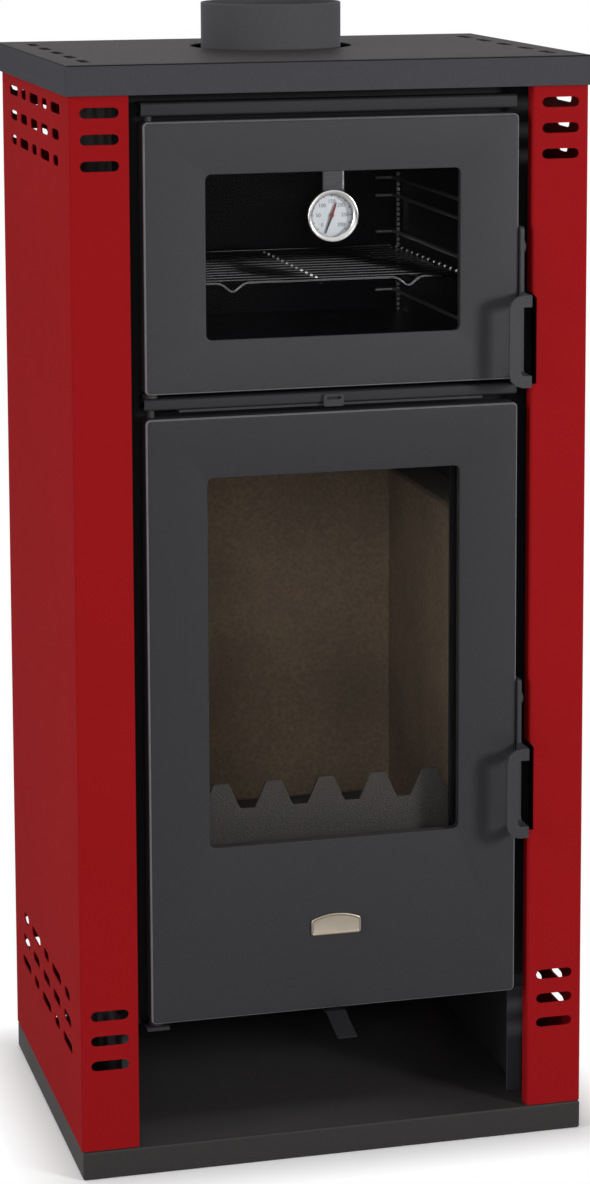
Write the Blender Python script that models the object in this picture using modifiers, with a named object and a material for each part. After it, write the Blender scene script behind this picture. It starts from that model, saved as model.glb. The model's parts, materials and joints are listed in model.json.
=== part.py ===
"""Free-standing steel wood stove with a baking oven above the firebox.

Lengths are metres, +Z is up and +Y points to the back. "Depth" is measured from the front face of the
side casings towards the back, and back() turns a depth into a Y position. The origin lies on the floor
under the middle of the whole stove, tongue and top plate included.
"""
import math

import bmesh
import bpy
from mathutils import Matrix, Vector

# General
FIT_GAP = 0.0003            # room left between two pieces that touch
ARC_STEPS = 3               # facets in a quarter turn of a small corner
ROUND_STEPS = 40            # facets round a large turned piece
FOLD_RATIO = 1.4            # outer bend radius of a folded bracket over its sheet thickness

# Doors, which set the width and most of the height
DOOR_WIDTH = 0.3336
OVEN_DOOR_HEIGHT = 0.2334
FIRE_DOOR_HEIGHT = 0.5372
DOOR_THICKNESS = 0.022
DOOR_SHEET = 0.0025
DOOR_BEND = 0.003
WINDOW_SIDE = 0.0535        # from the door's side to the window
WINDOW_RADIUS = 0.005
OVEN_WINDOW_RAIL_LOW = 0.0456
OVEN_WINDOW_RAIL_HIGH = 0.0458
FIRE_WINDOW_RAIL_LOW = 0.1557
FIRE_WINDOW_RAIL_HIGH = 0.0534
GASKET_REVEAL = 0.002       # gasket set back from the window edge
GASKET_WIDTH = 0.010
GASKET_THICKNESS = 0.005
GLASS_THICKNESS = 0.004
GLASS_OVERLAP = 0.012
RETAINER_THICKNESS = 0.002
RETAINER_WIDTH = 0.019
CHANNEL_WIDTH = 0.0205
CHANNEL_HEIGHT = 0.007
CHANNEL_SHEET = 0.0015
SEAL_RADIUS = 0.0054
SEAL_BEND = 0.0108

# Outer casing
CASE_SHEET = 0.0015
CASE_BEND = 0.0032
CASE_DOOR_GAP = 0.0115      # between a door's side and the casing flange
FLANGE_WIDTH = 0.0517
FRONT_RETURN = 0.012
REAR_RETURN = 0.015
REAR_AIR_GAP = 0.036        # behind the welded body

# Base tray
BASE_HEIGHT = 0.0255
BASE_SHEET = 0.002
BASE_INSET = 0.0005
BASE_PROUD = 0.0015
BASE_REAR_INSET = 0.002
BASE_LIP = 0.022
BASE_BEVEL = 0.002

# Top plate
TOP_RIM = 0.026
TOP_SHEET = 0.002
TOP_OVERHANG_SIDE = 0.0038
TOP_OVERHANG_FRONT = 0.005
TOP_OVERHANG_BACK = 0.009
TOP_BEVEL = 0.0032
TOP_SLOT_PITCH = 0.060
TOP_SLOT_INSET = 0.022
TOP_SLOT_COUNT = 5
TOP_AIR_GAP = 0.032         # between the welded body and the face of the top plate

# Vent slots of the casing
SLOT_HEIGHT = 0.0088
SLOT_LONG = 0.044
SLOT_MEDIUM = 0.034
SLOT_SHORT = 0.025
SLOT_ROWS = 3
SLOT_ROW_PITCH = 0.0225
TOP_ROW_DROP = 0.0405       # highest row below the face of the top plate
BOTTOM_ROW_RISE = 0.0775    # lowest row above the base
SIDE_SLOT_COUNT = 5
SIDE_SLOT_PITCH = 0.052

# Rear heat shield
SHIELD_SHEET = 0.0012
SHIELD_RETURN = 0.013
SHIELD_INSET = 0.0015
SHIELD_SLOT_COUNT = 6
SHIELD_SLOT_PITCH = 0.054

# Welded body
BODY_SIDE_INSET = 0.0008    # body side inside the door's side
STORE_HEIGHT = 0.1075       # wood store between the base and the body
BODY_DEPTH = 0.2687
BODY_PLATE = 0.003
FLUE_FROM_BACK = 0.080
COLLAR_RADIUS = 0.064
COLLAR_WALL = 0.0025
COLLAR_RISE = 0.040         # above the top plate
COLLAR_FOOT = 0.012
COLLAR_FOOT_THICKNESS = 0.003
COLLAR_HOLE_CLEARANCE = 0.010

# Front frame
FRAME_MARGIN = 0.0162       # beyond the latch slots
FRAME_DEPTH = 0.028         # depth of its front face
FRAME_PLATE = 0.003
FRAME_DROP = 0.005          # how far it reaches below the body
LUG_LIFT = 0.0006           # hinge lug above the frame's lower edge
OVEN_SIDE = 0.0278          # from the door's side to the oven wall
OVEN_FLOOR_RISE = 0.0262    # oven floor above the door's lower edge
OVEN_CEILING_DROP = 0.0187
OVEN_REAR_GAP = 0.018
OVEN_SHEET = 0.002
FIRE_SIDE = 0.0538          # from the door's side to the firebox opening
FIRE_SILL_RISE = 0.0147
FIRE_LINTEL_DROP = 0.0222
OPENING_RADIUS = 0.008
RAIL_SHEET = 0.002
FIRE_DOOR_LIFT = 0.0023     # firebox door above the body's underside
MIDDLE_RAIL_DEPTH = 0.005
MIDDLE_RAIL_GAP = 0.0068    # firebox door to the middle rail
MIDDLE_RAIL_HEIGHT = 0.010
OVEN_DOOR_LIFT = 0.004      # oven door above the middle rail
TOP_RAIL_DEPTH = 0.008
TOP_RAIL_GAP = 0.0038
TOP_RAIL_HEIGHT = 0.0119
BODY_TOP_GAP = 0.0016       # body above the top rail
AIR_SLOT_LENGTH = 0.016
AIR_SLOT_WIDTH = 0.006
AIR_HOLE_HEIGHT = 0.0048
AIR_SLOT_FIRST = 0.0373
AIR_SLOT_PITCH = 0.0323
AIR_SLOT_PAIRS = 3

# Hinges
HINGE_INSET = 0.0068        # pin axis from the door's left side
HINGE_DEPTH = 0.014
HINGE_PIN_RADIUS = 0.0035
HINGE_HOLE_CLEARANCE = 0.0004
HINGE_PIN_ENGAGEMENT = 0.012
HINGE_COLLAR_RADIUS = 0.0065
HINGE_LUG_HALF_WIDTH = 0.010

# Latch handles
HANDLE_SHEET = 0.0033
HANDLE_WIDTH = 0.0204
HANDLE_SIDE_CLEARANCE = 0.0005
HANDLE_STANDOFF = 0.022     # door face to the back of the grip
HANDLE_HEIGHT = 0.0813
HANDLE_BAR = 0.0105
HANDLE_CORNER = 0.0125
HANDLE_INNER_CORNER = 0.003
STRIP_FRONT = 0.003         # how far the strip stands in front of the door face
STRIP_BACK = 0.014
STRIP_ABOVE = 0.057         # strip above the grip
LATCH_PIVOT_BELOW_TOP = 0.018
LATCH_PIVOT_DEPTH = 0.0055
LATCH_PIVOT_RADIUS = 0.003
LATCH_HEAD_RADIUS = 0.0055
LATCH_HEAD_THICKNESS = 0.0022
HOOK_ARM_UP = 0.0015
HOOK_ARM_DOWN = 0.006
HOOK_NOSE = 0.0032
HOOK_NOSE_LENGTH = 0.004
LATCH_SLOT_UP = 0.005
LATCH_SLOT_DOWN = 0.0165
LATCH_SLOT_SIDE = 0.0012
OVEN_HANDLE_DROP = 0.004    # grip below the oven door's lower edge
FIRE_HANDLE_RISE = 0.1495   # grip above the firebox door's lower edge

# Oven thermometer
DIAL_DROP = 0.0378          # dial centre below the oven window's upper edge
DIAL_X = -0.0025             # hangs a little left of the middle
BEZEL_RADIUS = 0.0225
BEZEL_LIP = 0.003
DIAL_CASE_LENGTH = 0.0087
DIAL_CASE_WALL = 0.001
DIAL_THICKNESS = 0.0006
LENS_THICKNESS = 0.001
STRAP_WIDTH = 0.019
STRAP_THICKNESS = 0.0012
STRAP_TUCK = 0.010
STRAP_OVERLAP = 0.009       # strap behind the upper edge of the case
BEZEL_STEPS = 6
NEEDLE_LENGTH = 0.0125
NEEDLE_TIP_LENGTH = 0.0031
NEEDLE_TAIL = 0.0165
NEEDLE_WIDTH = 0.0022
NEEDLE_TIP_WIDTH = 0.0016
NEEDLE_TAIL_WIDTH = 0.0008
NEEDLE_THICKNESS = 0.0006
NEEDLE_HUB_RADIUS = 0.0018
NEEDLE_ANGLE = math.radians(20)

# Blank badge
BADGE_WIDTH = 0.0455
BADGE_RISE = 0.0685         # above the firebox door's lower edge
BADGE_SHOULDER = 0.0145
BADGE_ARCH = 0.005
BADGE_THICKNESS = 0.0018
BADGE_BEVEL = 0.0005
BADGE_ARCH_STEPS = 8

# Firebox
BED_RISE = 0.096            # fire bed above the sill
BED_PLATE = 0.004
GRATE_SIDE = 0.023          # grate inside the firebox opening
GRATE_FRONT_GAP = 0.0517
GRATE_REAR_GAP = 0.063
GRATE_FLANGE = 0.008
GRATE_FLANGE_THICKNESS = 0.006
GRATE_BODY = 0.010
GRATE_BARS = 9
GRATE_SLOT_WIDTH = 0.010
GRATE_SLOT_MARGIN = 0.012
BRICK_THICKNESS = 0.040
BRICK_HEIGHT = 0.320
BRICK_BEVEL = 0.003
GUARD_THICKNESS = 0.003
GUARD_VALLEY_RISE = 0.024   # notches above the window's lower edge
GUARD_TOOTH_HEIGHT = 0.0235
GUARD_TOOTH_PITCH = 0.048
GUARD_TOOTH_TOP = 0.014
GUARD_VALLEY_WIDTH = 0.013
GUARD_TEETH = 5

# Ash pan
PAN_SIDE = 0.005            # pan inside the firebox opening
PAN_FRONT_GAP = 0.0107
PAN_REAR_GAP = 0.032
PAN_HEIGHT = 0.049
PAN_SHEET = 0.0012
PAN_SILL_CLEARANCE = 0.0008
PAN_PULL_HALF_WIDTH = 0.040
PAN_PULL_REACH = 0.010
PAN_PULL_DROP = 0.012       # pull below the pan's rim
RUNNER_SHEET = 0.002
RUNNER_WIDTH = 0.014
RUNNER_INSET = 0.010

# Legs beside the wood store
LEG_FRONT = 0.037
LEG_SHEET = 0.002
LEG_FLANGE = 0.016
LEG_TOP_FLANGE = 0.038
LEG_FOOT = 0.017

# Air slides
INLET_HALF_WIDTH = 0.025
INLET_FRONT = 0.100
INLET_LENGTH = 0.026
TONGUE_WIDTH = 0.0175
TONGUE_REACH = 0.038
TONGUE_DROP = 0.0095
TONGUE_BEND_DEPTH = -0.001
TONGUE_LAP = 0.003          # tongue behind its bend
SLIDE_SHEET = 0.002
SLIDE_CLEARANCE = 0.0004
PRIMARY_TRAVEL = 0.030
DAMPER_HALF_WIDTH = 0.032
DAMPER_FRONT_GAP = 0.003    # damper in front of the inlet at rest
DAMPER_OVERLAP = 0.009      # damper longer than its travel
DAMPER_SHOULDER = 0.003
GUIDE_WIDTH = 0.012
GUIDE_FOOT = 0.008
FRONT_GUIDE_DEPTH = 0.040
REAR_GUIDE_DEPTH = 0.086
BAR_SIDE = 0.0308           # slotted bar inside the door's side
BAR_BACK = 0.024
BAR_SLOT_LENGTH = 0.014
TAB_HALF_WIDTH = 0.009
TAB_RISE = 0.0104
TAB_HOLE_LENGTH = 0.013
TAB_HOLE_HEIGHT = 0.0024
TAB_HOLE_DROP = 0.0034
BAR_SUPPORT_INSET = 0.009
BAR_SUPPORT_WIDTH = 0.015
BAR_SUPPORT_OVERLAP = 0.003

# Oven furniture
SHELF_FRONT_GAP = 0.0137
SHELF_REAR_GAP = 0.017
SHELF_RIM_RADIUS = 0.0022
SHELF_WIRE_RADIUS = 0.00125
SHELF_WIRES = 12
CROSS_WIRE_RADIUS = 0.0016
CROSS_WIRES = 3
CROSS_WIRE_PITCH = 0.087
CROSS_WIRE_SINK = 0.0006    # how far the wires melt into each other at a weld
DIP_CENTRE = 0.0795
DIP_HALF_WIDTH = 0.011
DIP_DEPTH = 0.009
RACK_SIDE = 0.0035          # post centre inside the oven wall
RACK_POST_RADIUS = 0.0020
RACK_RUNG_RADIUS = 0.0017
RACK_FRONT_GAP = 0.0287
RACK_REAR_GAP = 0.016
RACK_HEIGHT = 0.132
RACK_OVERHANG = 0.004       # rungs beyond the posts
LOW_RUNG = 0.019            # single rung above the oven floor
PAIR_RUNG = 0.0577          # lower rung of the first pair above the oven floor
PAIR_RISE = 0.0515          # from one pair of rungs to the next
PAIR_GAP = 0.017            # between the two rungs of a pair

# Places across the width
DOOR_HALF_WIDTH = DOOR_WIDTH / 2
FLANGE_INNER = DOOR_HALF_WIDTH + CASE_DOOR_GAP
HALF_CASE = FLANGE_INNER + FLANGE_WIDTH
FLANGE_MIDDLE = HALF_CASE - FLANGE_WIDTH / 2
TOP_SLOT_X = HALF_CASE - TOP_SLOT_INSET
BODY_HALF_WIDTH = DOOR_HALF_WIDTH - BODY_SIDE_INSET
BODY_INNER = BODY_HALF_WIDTH - BODY_PLATE
WINDOW_HALF_WIDTH = DOOR_HALF_WIDTH - WINDOW_SIDE
OVEN_HALF_WIDTH = DOOR_HALF_WIDTH - OVEN_SIDE
FIRE_HALF_WIDTH = DOOR_HALF_WIDTH - FIRE_SIDE
GRATE_HALF_WIDTH = FIRE_HALF_WIDTH - GRATE_SIDE
PAN_HALF_WIDTH = FIRE_HALF_WIDTH - PAN_SIDE
RUNNER_HALF_SPAN = PAN_HALF_WIDTH - RUNNER_INSET
HINGE_X = -DOOR_HALF_WIDTH + HINGE_INSET
STRIP_LEFT = DOOR_HALF_WIDTH + HANDLE_SIDE_CLEARANCE
STRIP_RIGHT = STRIP_LEFT + HANDLE_SHEET
HANDLE_LEFT = STRIP_RIGHT - HANDLE_WIDTH
FRAME_HALF_WIDTH = STRIP_RIGHT + LATCH_SLOT_SIDE + FRAME_MARGIN
LEG_OUTER = FRAME_HALF_WIDTH
CHANNEL_OUTER = DOOR_HALF_WIDTH - DOOR_SHEET - SLIDE_CLEARANCE
BAR_HALF_LENGTH = DOOR_HALF_WIDTH - BAR_SIDE
BAR_SUPPORT_OUTER = BAR_HALF_LENGTH - BAR_SUPPORT_INSET
RACK_HALF_SPAN = OVEN_HALF_WIDTH - RACK_SIDE
RUNG_HALF_SPAN = RACK_HALF_SPAN - RACK_POST_RADIUS - RACK_RUNG_RADIUS + FIT_GAP
SHELF_HALF_WIDTH = RUNG_HALF_SPAN - RACK_RUNG_RADIUS

# Places in depth
FRAME_BACK = FRAME_DEPTH + FRAME_PLATE
BODY_FRONT = FRAME_BACK + FIT_GAP
BODY_BACK = BODY_FRONT + BODY_DEPTH
CASE_DEPTH = BODY_BACK + REAR_AIR_GAP
FRONT_REACH = max(TONGUE_REACH, HANDLE_STANDOFF + HANDLE_SHEET)
FRONT_Y = -(CASE_DEPTH + TOP_OVERHANG_BACK - FRONT_REACH) / 2
FLUE_CENTRE_DEPTH = BODY_BACK - FLUE_FROM_BACK
OVEN_BACK = BODY_BACK - OVEN_REAR_GAP
GRATE_FRONT = BODY_FRONT + GRATE_FRONT_GAP
GRATE_BACK = BODY_BACK - GRATE_REAR_GAP
PAN_FRONT = BODY_FRONT + PAN_FRONT_GAP
PAN_BACK = BODY_BACK - PAN_REAR_GAP
SHELF_FRONT = BODY_FRONT + SHELF_FRONT_GAP
SHELF_BACK = OVEN_BACK - SHELF_REAR_GAP
RACK_FRONT = BODY_FRONT + RACK_FRONT_GAP
RACK_BACK = OVEN_BACK - RACK_REAR_GAP
INLET_BACK = INLET_FRONT + INLET_LENGTH
GLASS_FRONT = DOOR_SHEET + FIT_GAP + GASKET_THICKNESS + FIT_GAP
GLASS_BACK = GLASS_FRONT + GLASS_THICKNESS
DIAL_BACK = DOOR_SHEET - FIT_GAP

# Places in height, from the floor up
CASE_BOTTOM = BASE_HEIGHT + FIT_GAP
BODY_BOTTOM = BASE_HEIGHT + STORE_HEIGHT
LUG_LOW = BODY_BOTTOM - FRAME_DROP + LUG_LIFT
SLIDE_TOP = BODY_BOTTOM - SLIDE_CLEARANCE
FIRE_DOOR_LOW = BODY_BOTTOM + FIRE_DOOR_LIFT
FIRE_DOOR_HIGH = FIRE_DOOR_LOW + FIRE_DOOR_HEIGHT
FIRE_SILL = FIRE_DOOR_LOW + FIRE_SILL_RISE
FIRE_LINTEL = FIRE_DOOR_HIGH - FIRE_LINTEL_DROP
FIRE_WINDOW_LOW = FIRE_DOOR_LOW + FIRE_WINDOW_RAIL_LOW
FIRE_WINDOW_HIGH = FIRE_DOOR_HIGH - FIRE_WINDOW_RAIL_HIGH
FIRE_HANDLE_LOW = FIRE_DOOR_LOW + FIRE_HANDLE_RISE
BADGE_LOW = FIRE_DOOR_LOW + BADGE_RISE
PAN_BOTTOM = FIRE_SILL + PAN_SILL_CLEARANCE
BED_HEIGHT = FIRE_SILL + BED_RISE
BED_TOP = BED_HEIGHT + BED_PLATE
GUARD_VALLEY = FIRE_WINDOW_LOW + GUARD_VALLEY_RISE
MIDDLE_RAIL_LOW = FIRE_DOOR_HIGH + MIDDLE_RAIL_GAP
MIDDLE_RAIL_HIGH = MIDDLE_RAIL_LOW + MIDDLE_RAIL_HEIGHT
BAR_TOP = MIDDLE_RAIL_LOW - SLIDE_CLEARANCE
OVEN_DOOR_LOW = MIDDLE_RAIL_HIGH + OVEN_DOOR_LIFT
OVEN_DOOR_HIGH = OVEN_DOOR_LOW + OVEN_DOOR_HEIGHT
OVEN_WINDOW_LOW = OVEN_DOOR_LOW + OVEN_WINDOW_RAIL_LOW
OVEN_WINDOW_HIGH = OVEN_DOOR_HIGH - OVEN_WINDOW_RAIL_HIGH
OVEN_HANDLE_LOW = OVEN_DOOR_LOW - OVEN_HANDLE_DROP
OVEN_FLOOR = OVEN_DOOR_LOW + OVEN_FLOOR_RISE
OVEN_CEILING = OVEN_DOOR_HIGH - OVEN_CEILING_DROP
DIAL_HEIGHT = OVEN_WINDOW_HIGH - DIAL_DROP
TOP_RAIL_LOW = OVEN_DOOR_HIGH + TOP_RAIL_GAP
TOP_RAIL_HIGH = TOP_RAIL_LOW + TOP_RAIL_HEIGHT
BODY_TOP = TOP_RAIL_HIGH + BODY_TOP_GAP
STOVE_HEIGHT = BODY_TOP + TOP_AIR_GAP
CASE_TOP = STOVE_HEIGHT - TOP_SHEET - FIT_GAP
TOP_ROW_HEIGHT = STOVE_HEIGHT - TOP_ROW_DROP
BOTTOM_ROW_HEIGHT = BASE_HEIGHT + BOTTOM_ROW_RISE
SHELF_RUNG = OVEN_FLOOR + PAIR_RUNG
SHELF_LEVEL = SHELF_RUNG + RACK_RUNG_RADIUS + FIT_GAP + SHELF_RIM_RADIUS


def back(depth):
    """Y position of a depth behind the front face of the casings."""
    return FRONT_Y + depth


def clear_scene():
    """Empty the scene."""
    for obj in list(bpy.data.objects):
        bpy.data.objects.remove(obj, do_unlink=True)


def new_collection(name):
    """Collection linked to the scene."""
    collection = bpy.data.collections.new(name)
    bpy.context.scene.collection.children.link(collection)
    return collection


def material(name, colour, roughness, metallic=0.0, alpha=1.0):
    """Principled material in one plain colour."""
    mat = bpy.data.materials.new(name)
    mat.use_nodes = True
    shader = mat.node_tree.nodes["Principled BSDF"]
    shader.inputs["Base Color"].default_value = (*colour, 1.0)
    shader.inputs["Roughness"].default_value = roughness
    shader.inputs["Metallic"].default_value = metallic
    shader.inputs["Alpha"].default_value = alpha
    mat.diffuse_color = (*colour, alpha)
    return mat


clear_scene()
PARTS = new_collection("heating_stove_with_oven")
CUTTERS = new_collection("cutters")

RED = material("casing_red_enamel", (0.27, 0.008, 0.010), 0.38)
CHARCOAL = material("charcoal_stove_paint", (0.050, 0.050, 0.056), 0.55)
INNER_STEEL = material("firebox_steel", (0.035, 0.033, 0.031), 0.75)
ENAMEL = material("oven_enamel", (0.010, 0.010, 0.012), 0.25)
GLASS = material("ceramic_glass", (0.08, 0.08, 0.08), 0.05, alpha=0.25)
LENS = material("lens_glass", (0.9, 0.9, 0.9), 0.05, alpha=0.25)
ROPE = material("glass_fibre_rope", (0.16, 0.155, 0.145), 0.95)
WIRE = material("chromed_wire", (0.62, 0.62, 0.62), 0.25, 1.0)
BRIGHT_STEEL = material("polished_steel", (0.72, 0.72, 0.70), 0.18, 1.0)
DIAL_WHITE = material("dial_enamel", (0.80, 0.82, 0.80), 0.4)
NEEDLE_RED = material("needle_red", (0.55, 0.02, 0.03), 0.4)
NICKEL = material("badge_nickel", (0.55, 0.47, 0.34), 0.3, 1.0)
CAST_IRON = material("cast_iron", (0.045, 0.043, 0.042), 0.8)
BRICK = material("firebrick", (0.45, 0.36, 0.26), 0.9)
ZINC = material("zinc_plated_steel", (0.50, 0.50, 0.48), 0.35, 1.0)


def mesh_object(name, bm, mat, collection=None):
    """Object from a bmesh in world coordinates, its doubles merged and its faces pointing out."""
    bmesh.ops.remove_doubles(bm, verts=bm.verts, dist=1e-6)
    bmesh.ops.recalc_face_normals(bm, faces=bm.faces)
    mesh = bpy.data.meshes.new(name)
    bm.to_mesh(mesh)
    bm.free()
    if mat is not None:
        mesh.materials.append(mat)
    obj = bpy.data.objects.new(name, mesh)
    (collection or PARTS).objects.link(obj)
    return obj


def cutter(obj):
    """Keep an object only as the operand of a Boolean."""
    for collection in list(obj.users_collection):
        collection.objects.unlink(obj)
    CUTTERS.objects.link(obj)
    obj.hide_render = True
    obj.display_type = "WIRE"
    return obj


def boolean(obj, other, operation):
    """Cut or join another object, which then stays as a guide only."""
    cutter(other)
    modifier = obj.modifiers.new(operation.lower(), "BOOLEAN")
    modifier.operation = operation
    modifier.object = other
    modifier.solver = "EXACT"
    return obj


def cut(obj, *others):
    """Take other solids away from one."""
    for other in others:
        boolean(obj, other, "DIFFERENCE")
    return obj


def join(obj, *others):
    """Weld other solids to one."""
    for other in others:
        boolean(obj, other, "UNION")
    return obj


def bevel(obj, width, segments=2):
    """Round the edges that are sharper than 40 degrees."""
    modifier = obj.modifiers.new("bevel", "BEVEL")
    modifier.width = width
    modifier.segments = segments
    modifier.limit_method = "ANGLE"
    modifier.angle_limit = math.radians(40)
    modifier.use_clamp_overlap = True
    return obj


def smooth(obj, angle=35):
    """Smooth shading with sharp edges above an angle in degrees."""
    obj.data.shade_smooth()
    obj.data.set_sharp_from_angle(angle=math.radians(angle))
    return obj


def block(name, low, high, mat=None):
    """Box between two corners, its Y given as depths."""
    low = Vector((low[0], back(low[1]), low[2]))
    high = Vector((high[0], back(high[1]), high[2]))
    bm = bmesh.new()
    bmesh.ops.create_cube(bm, size=1.0)
    size = high - low
    scale = Matrix.Diagonal((size.x, size.y, size.z, 1.0))
    bm.transform(Matrix.Translation((low + high) / 2) @ scale)
    return mesh_object(name, bm, mat)


def open_box(name, low, high, open_side, thickness, mat, bend=0.0):
    """Sheet box without the wall that faces open_side, its edges bent round, then given a wall inwards."""
    obj = block(name, low, high, mat)
    bm = bmesh.new()
    bm.from_mesh(obj.data)
    side = Vector(open_side)
    faces = [face for face in bm.faces if face.normal.dot(side) > 0.9]
    bmesh.ops.delete(bm, geom=faces, context="FACES_ONLY")
    bm.to_mesh(obj.data)
    bm.free()
    if bend > 0:
        bevel(obj, bend)
    wall = obj.modifiers.new("wall", "SOLIDIFY")
    wall.thickness = thickness
    wall.offset = -1.0
    wall.use_even_offset = True
    return obj


def turn(previous, corner, following):
    """Signed area of the turn at a corner: positive turns left."""
    before = corner - previous
    after = following - corner
    return before.x * after.y - before.y * after.x


def rounded(points, radii, closed):
    """Replace each corner of a path by an arc that is tangent to both its sides."""
    points = [Vector(point) for point in points]
    count = len(points)
    result = []
    for index, corner in enumerate(points):
        end = not closed and index in (0, count - 1)
        radius = radii if isinstance(radii, (int, float)) else radii[index]
        if end or radius <= 1e-6:
            result.append(corner)
            continue
        to_previous = (points[index - 1] - corner).normalized()
        to_following = (points[(index + 1) % count] - corner).normalized()
        half = to_previous.angle(to_following) / 2
        bisector = (to_previous + to_following).normalized()
        centre = corner + bisector * radius / math.sin(half)
        start = corner + to_previous * radius / math.tan(half) - centre
        sweep = math.pi - 2 * half
        if turn(points[index - 1], corner, points[(index + 1) % count]) < 0:
            sweep = -sweep
        steps = max(1, round(abs(sweep) / (math.pi / 2) * ARC_STEPS))
        for step in range(steps + 1):
            angle = sweep * step / steps
            rotated = Vector((
                start.x * math.cos(angle) - start.y * math.sin(angle),
                start.x * math.sin(angle) + start.y * math.cos(angle),
            ))
            result.append(centre + rotated)
    return result


def offset_path(points, distance):
    """Open path moved sideways to its left by a distance, with its corners kept sharp."""
    points = [Vector(point) for point in points]
    normals = []
    for start, end in zip(points, points[1:]):
        along = (end - start).normalized()
        normals.append(Vector((-along.y, along.x)))
    moved = [points[0] + normals[0] * distance]
    for index in range(1, len(points) - 1):
        first, second = normals[index - 1], normals[index]
        middle = (first + second) / (1 + first.dot(second))
        moved.append(points[index] + middle * distance)
    moved.append(points[-1] + normals[-1] * distance)
    return moved


def sheet_profile(points, thickness, bend):
    """Closed outline of a folded sheet with one face on a path; a positive wall lies to the path's left."""
    vectors = [Vector(point) for point in points]
    outer_radii = [0.0]
    inner_radii = [0.0]
    tight = max(bend - abs(thickness), 0.0)
    for previous, corner, following in zip(vectors, vectors[1:], vectors[2:]):
        wall_inside = (turn(previous, corner, following) > 0) == (thickness > 0)
        outer_radii.append(bend if wall_inside else tight)
        inner_radii.append(tight if wall_inside else bend)
    outer_radii.append(0.0)
    inner_radii.append(0.0)
    outer = rounded(vectors, outer_radii, closed=False)
    inner = rounded(offset_path(vectors, thickness), inner_radii, closed=False)
    return outer + inner[::-1]


def rectangle(u_low, v_low, u_high, v_high, radius=0.0):
    """Outline of a rectangle with equal corners."""
    corners = [(u_low, v_low), (u_high, v_low), (u_high, v_high), (u_low, v_high)]
    return rounded(corners, radius, closed=True)


def obround(u, v, length, width, steps=4):
    """Slot with round ends that runs along u."""
    reach = (length - width) / 2
    points = []
    for side, start in ((1, -math.pi / 2), (-1, math.pi / 2)):
        for step in range(steps + 1):
            angle = start + math.pi * step / steps
            across = u + side * reach + width / 2 * math.cos(angle)
            points.append(Vector((across, v + width / 2 * math.sin(angle))))
    return points


def circle(u, v, radius, steps=ROUND_STEPS):
    """Outline of a circle."""
    angles = [2 * math.pi * step / steps for step in range(steps)]
    return [Vector((u + radius * math.cos(a), v + radius * math.sin(a))) for a in angles]


# Each plane maps an outline's own u, v and its normal to world axes.
PLANES = {
    "X": Matrix(((0, 0, 1), (1, 0, 0), (0, 1, 0))),    # outline in depth and height
    "Y": Matrix(((1, 0, 0), (0, 0, -1), (0, 1, 0))),   # outline in width and height
    "Z": Matrix(((1, 0, 0), (0, 1, 0), (0, 0, 1))),    # outline in width and depth
}


def extrusion(name, loops, axis, low, high, mat=None):
    """Flat outline, with its holes as further loops, extruded along an axis; depths count from the front."""
    if axis == "Y":
        low, high = back(low), back(high)
    curve = bpy.data.curves.new(name, "CURVE")
    curve.dimensions = "2D"
    curve.fill_mode = "BOTH"
    curve.extrude = (high - low) / 2
    for loop in loops:
        spline = curve.splines.new("POLY")
        spline.points.add(len(loop) - 1)
        for point, place in zip(spline.points, loop):
            point.co = (place[0], place[1], 0.0, 1.0)
        spline.use_cyclic_u = True
    middle = (low + high) / 2
    shift = {
        "X": Vector((middle, FRONT_Y, 0)),
        "Y": Vector((0, middle, 0)),
        "Z": Vector((0, FRONT_Y, middle)),
    }[axis]
    return curve_to_mesh(name, curve, Matrix.Translation(shift) @ PLANES[axis].to_4x4(), mat)


def curve_to_mesh(name, curve, matrix, mat):
    """Mesh of a curve with its loose caps welded on."""
    carrier = bpy.data.objects.new(name + "_curve", curve)
    CUTTERS.objects.link(carrier)
    bpy.context.view_layer.update()
    evaluated = carrier.evaluated_get(bpy.context.evaluated_depsgraph_get())
    mesh = bpy.data.meshes.new_from_object(evaluated)
    bm = bmesh.new()
    bm.from_mesh(mesh)
    bm.transform(matrix)
    bpy.data.objects.remove(carrier, do_unlink=True)
    bpy.data.meshes.remove(mesh)
    return mesh_object(name, bm, mat)


def wire(name, points, radius, mat=None, closed=False, resolution=2):
    """Round wire through points given as width, depth and height."""
    curve = bpy.data.curves.new(name, "CURVE")
    curve.dimensions = "3D"
    curve.bevel_depth = radius
    curve.bevel_resolution = resolution
    curve.use_fill_caps = True
    spline = curve.splines.new("POLY")
    spline.points.add(len(points) - 1)
    for point, place in zip(spline.points, points):
        point.co = (place[0], back(place[1]), place[2], 1.0)
    spline.use_cyclic_u = closed
    return smooth(curve_to_mesh(name, curve, Matrix.Identity(4), mat))


def turned(name, profile, mat, matrix, steps=ROUND_STEPS):
    """Profile of radius and height, outer side first from the top down, turned about Z and then placed."""
    bm = bmesh.new()
    verts = [bm.verts.new((radius, 0.0, height)) for radius, height in profile]
    for first, second in zip(verts, verts[1:] + verts[:1]):
        if first.co.x > 1e-9 or second.co.x > 1e-9:
            bm.edges.new((first, second))
    mesh = bpy.data.meshes.new(name)
    bm.to_mesh(mesh)
    bm.free()
    mesh.materials.append(mat)
    obj = bpy.data.objects.new(name, mesh)
    PARTS.objects.link(obj)
    screw = obj.modifiers.new("turn", "SCREW")
    screw.steps = steps
    screw.render_steps = steps
    screw.use_merge_vertices = True
    screw.merge_threshold = 0.00001
    screw.use_smooth_shade = True
    obj.matrix_world = matrix
    return obj


def pin(name, points, mat, x, depth, low_z, steps=16):
    """Turned vertical pin, its profile given from the axis outwards and counted from low_z."""
    return turned(name, points, mat, Matrix.Translation((x, back(depth), low_z)), steps)


def joint_empty(name, place):
    """Empty on a joint's axis that carries the pieces that move about it."""
    empty = bpy.data.objects.new(name, None)
    empty.location = place
    PARTS.objects.link(empty)
    return empty


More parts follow.
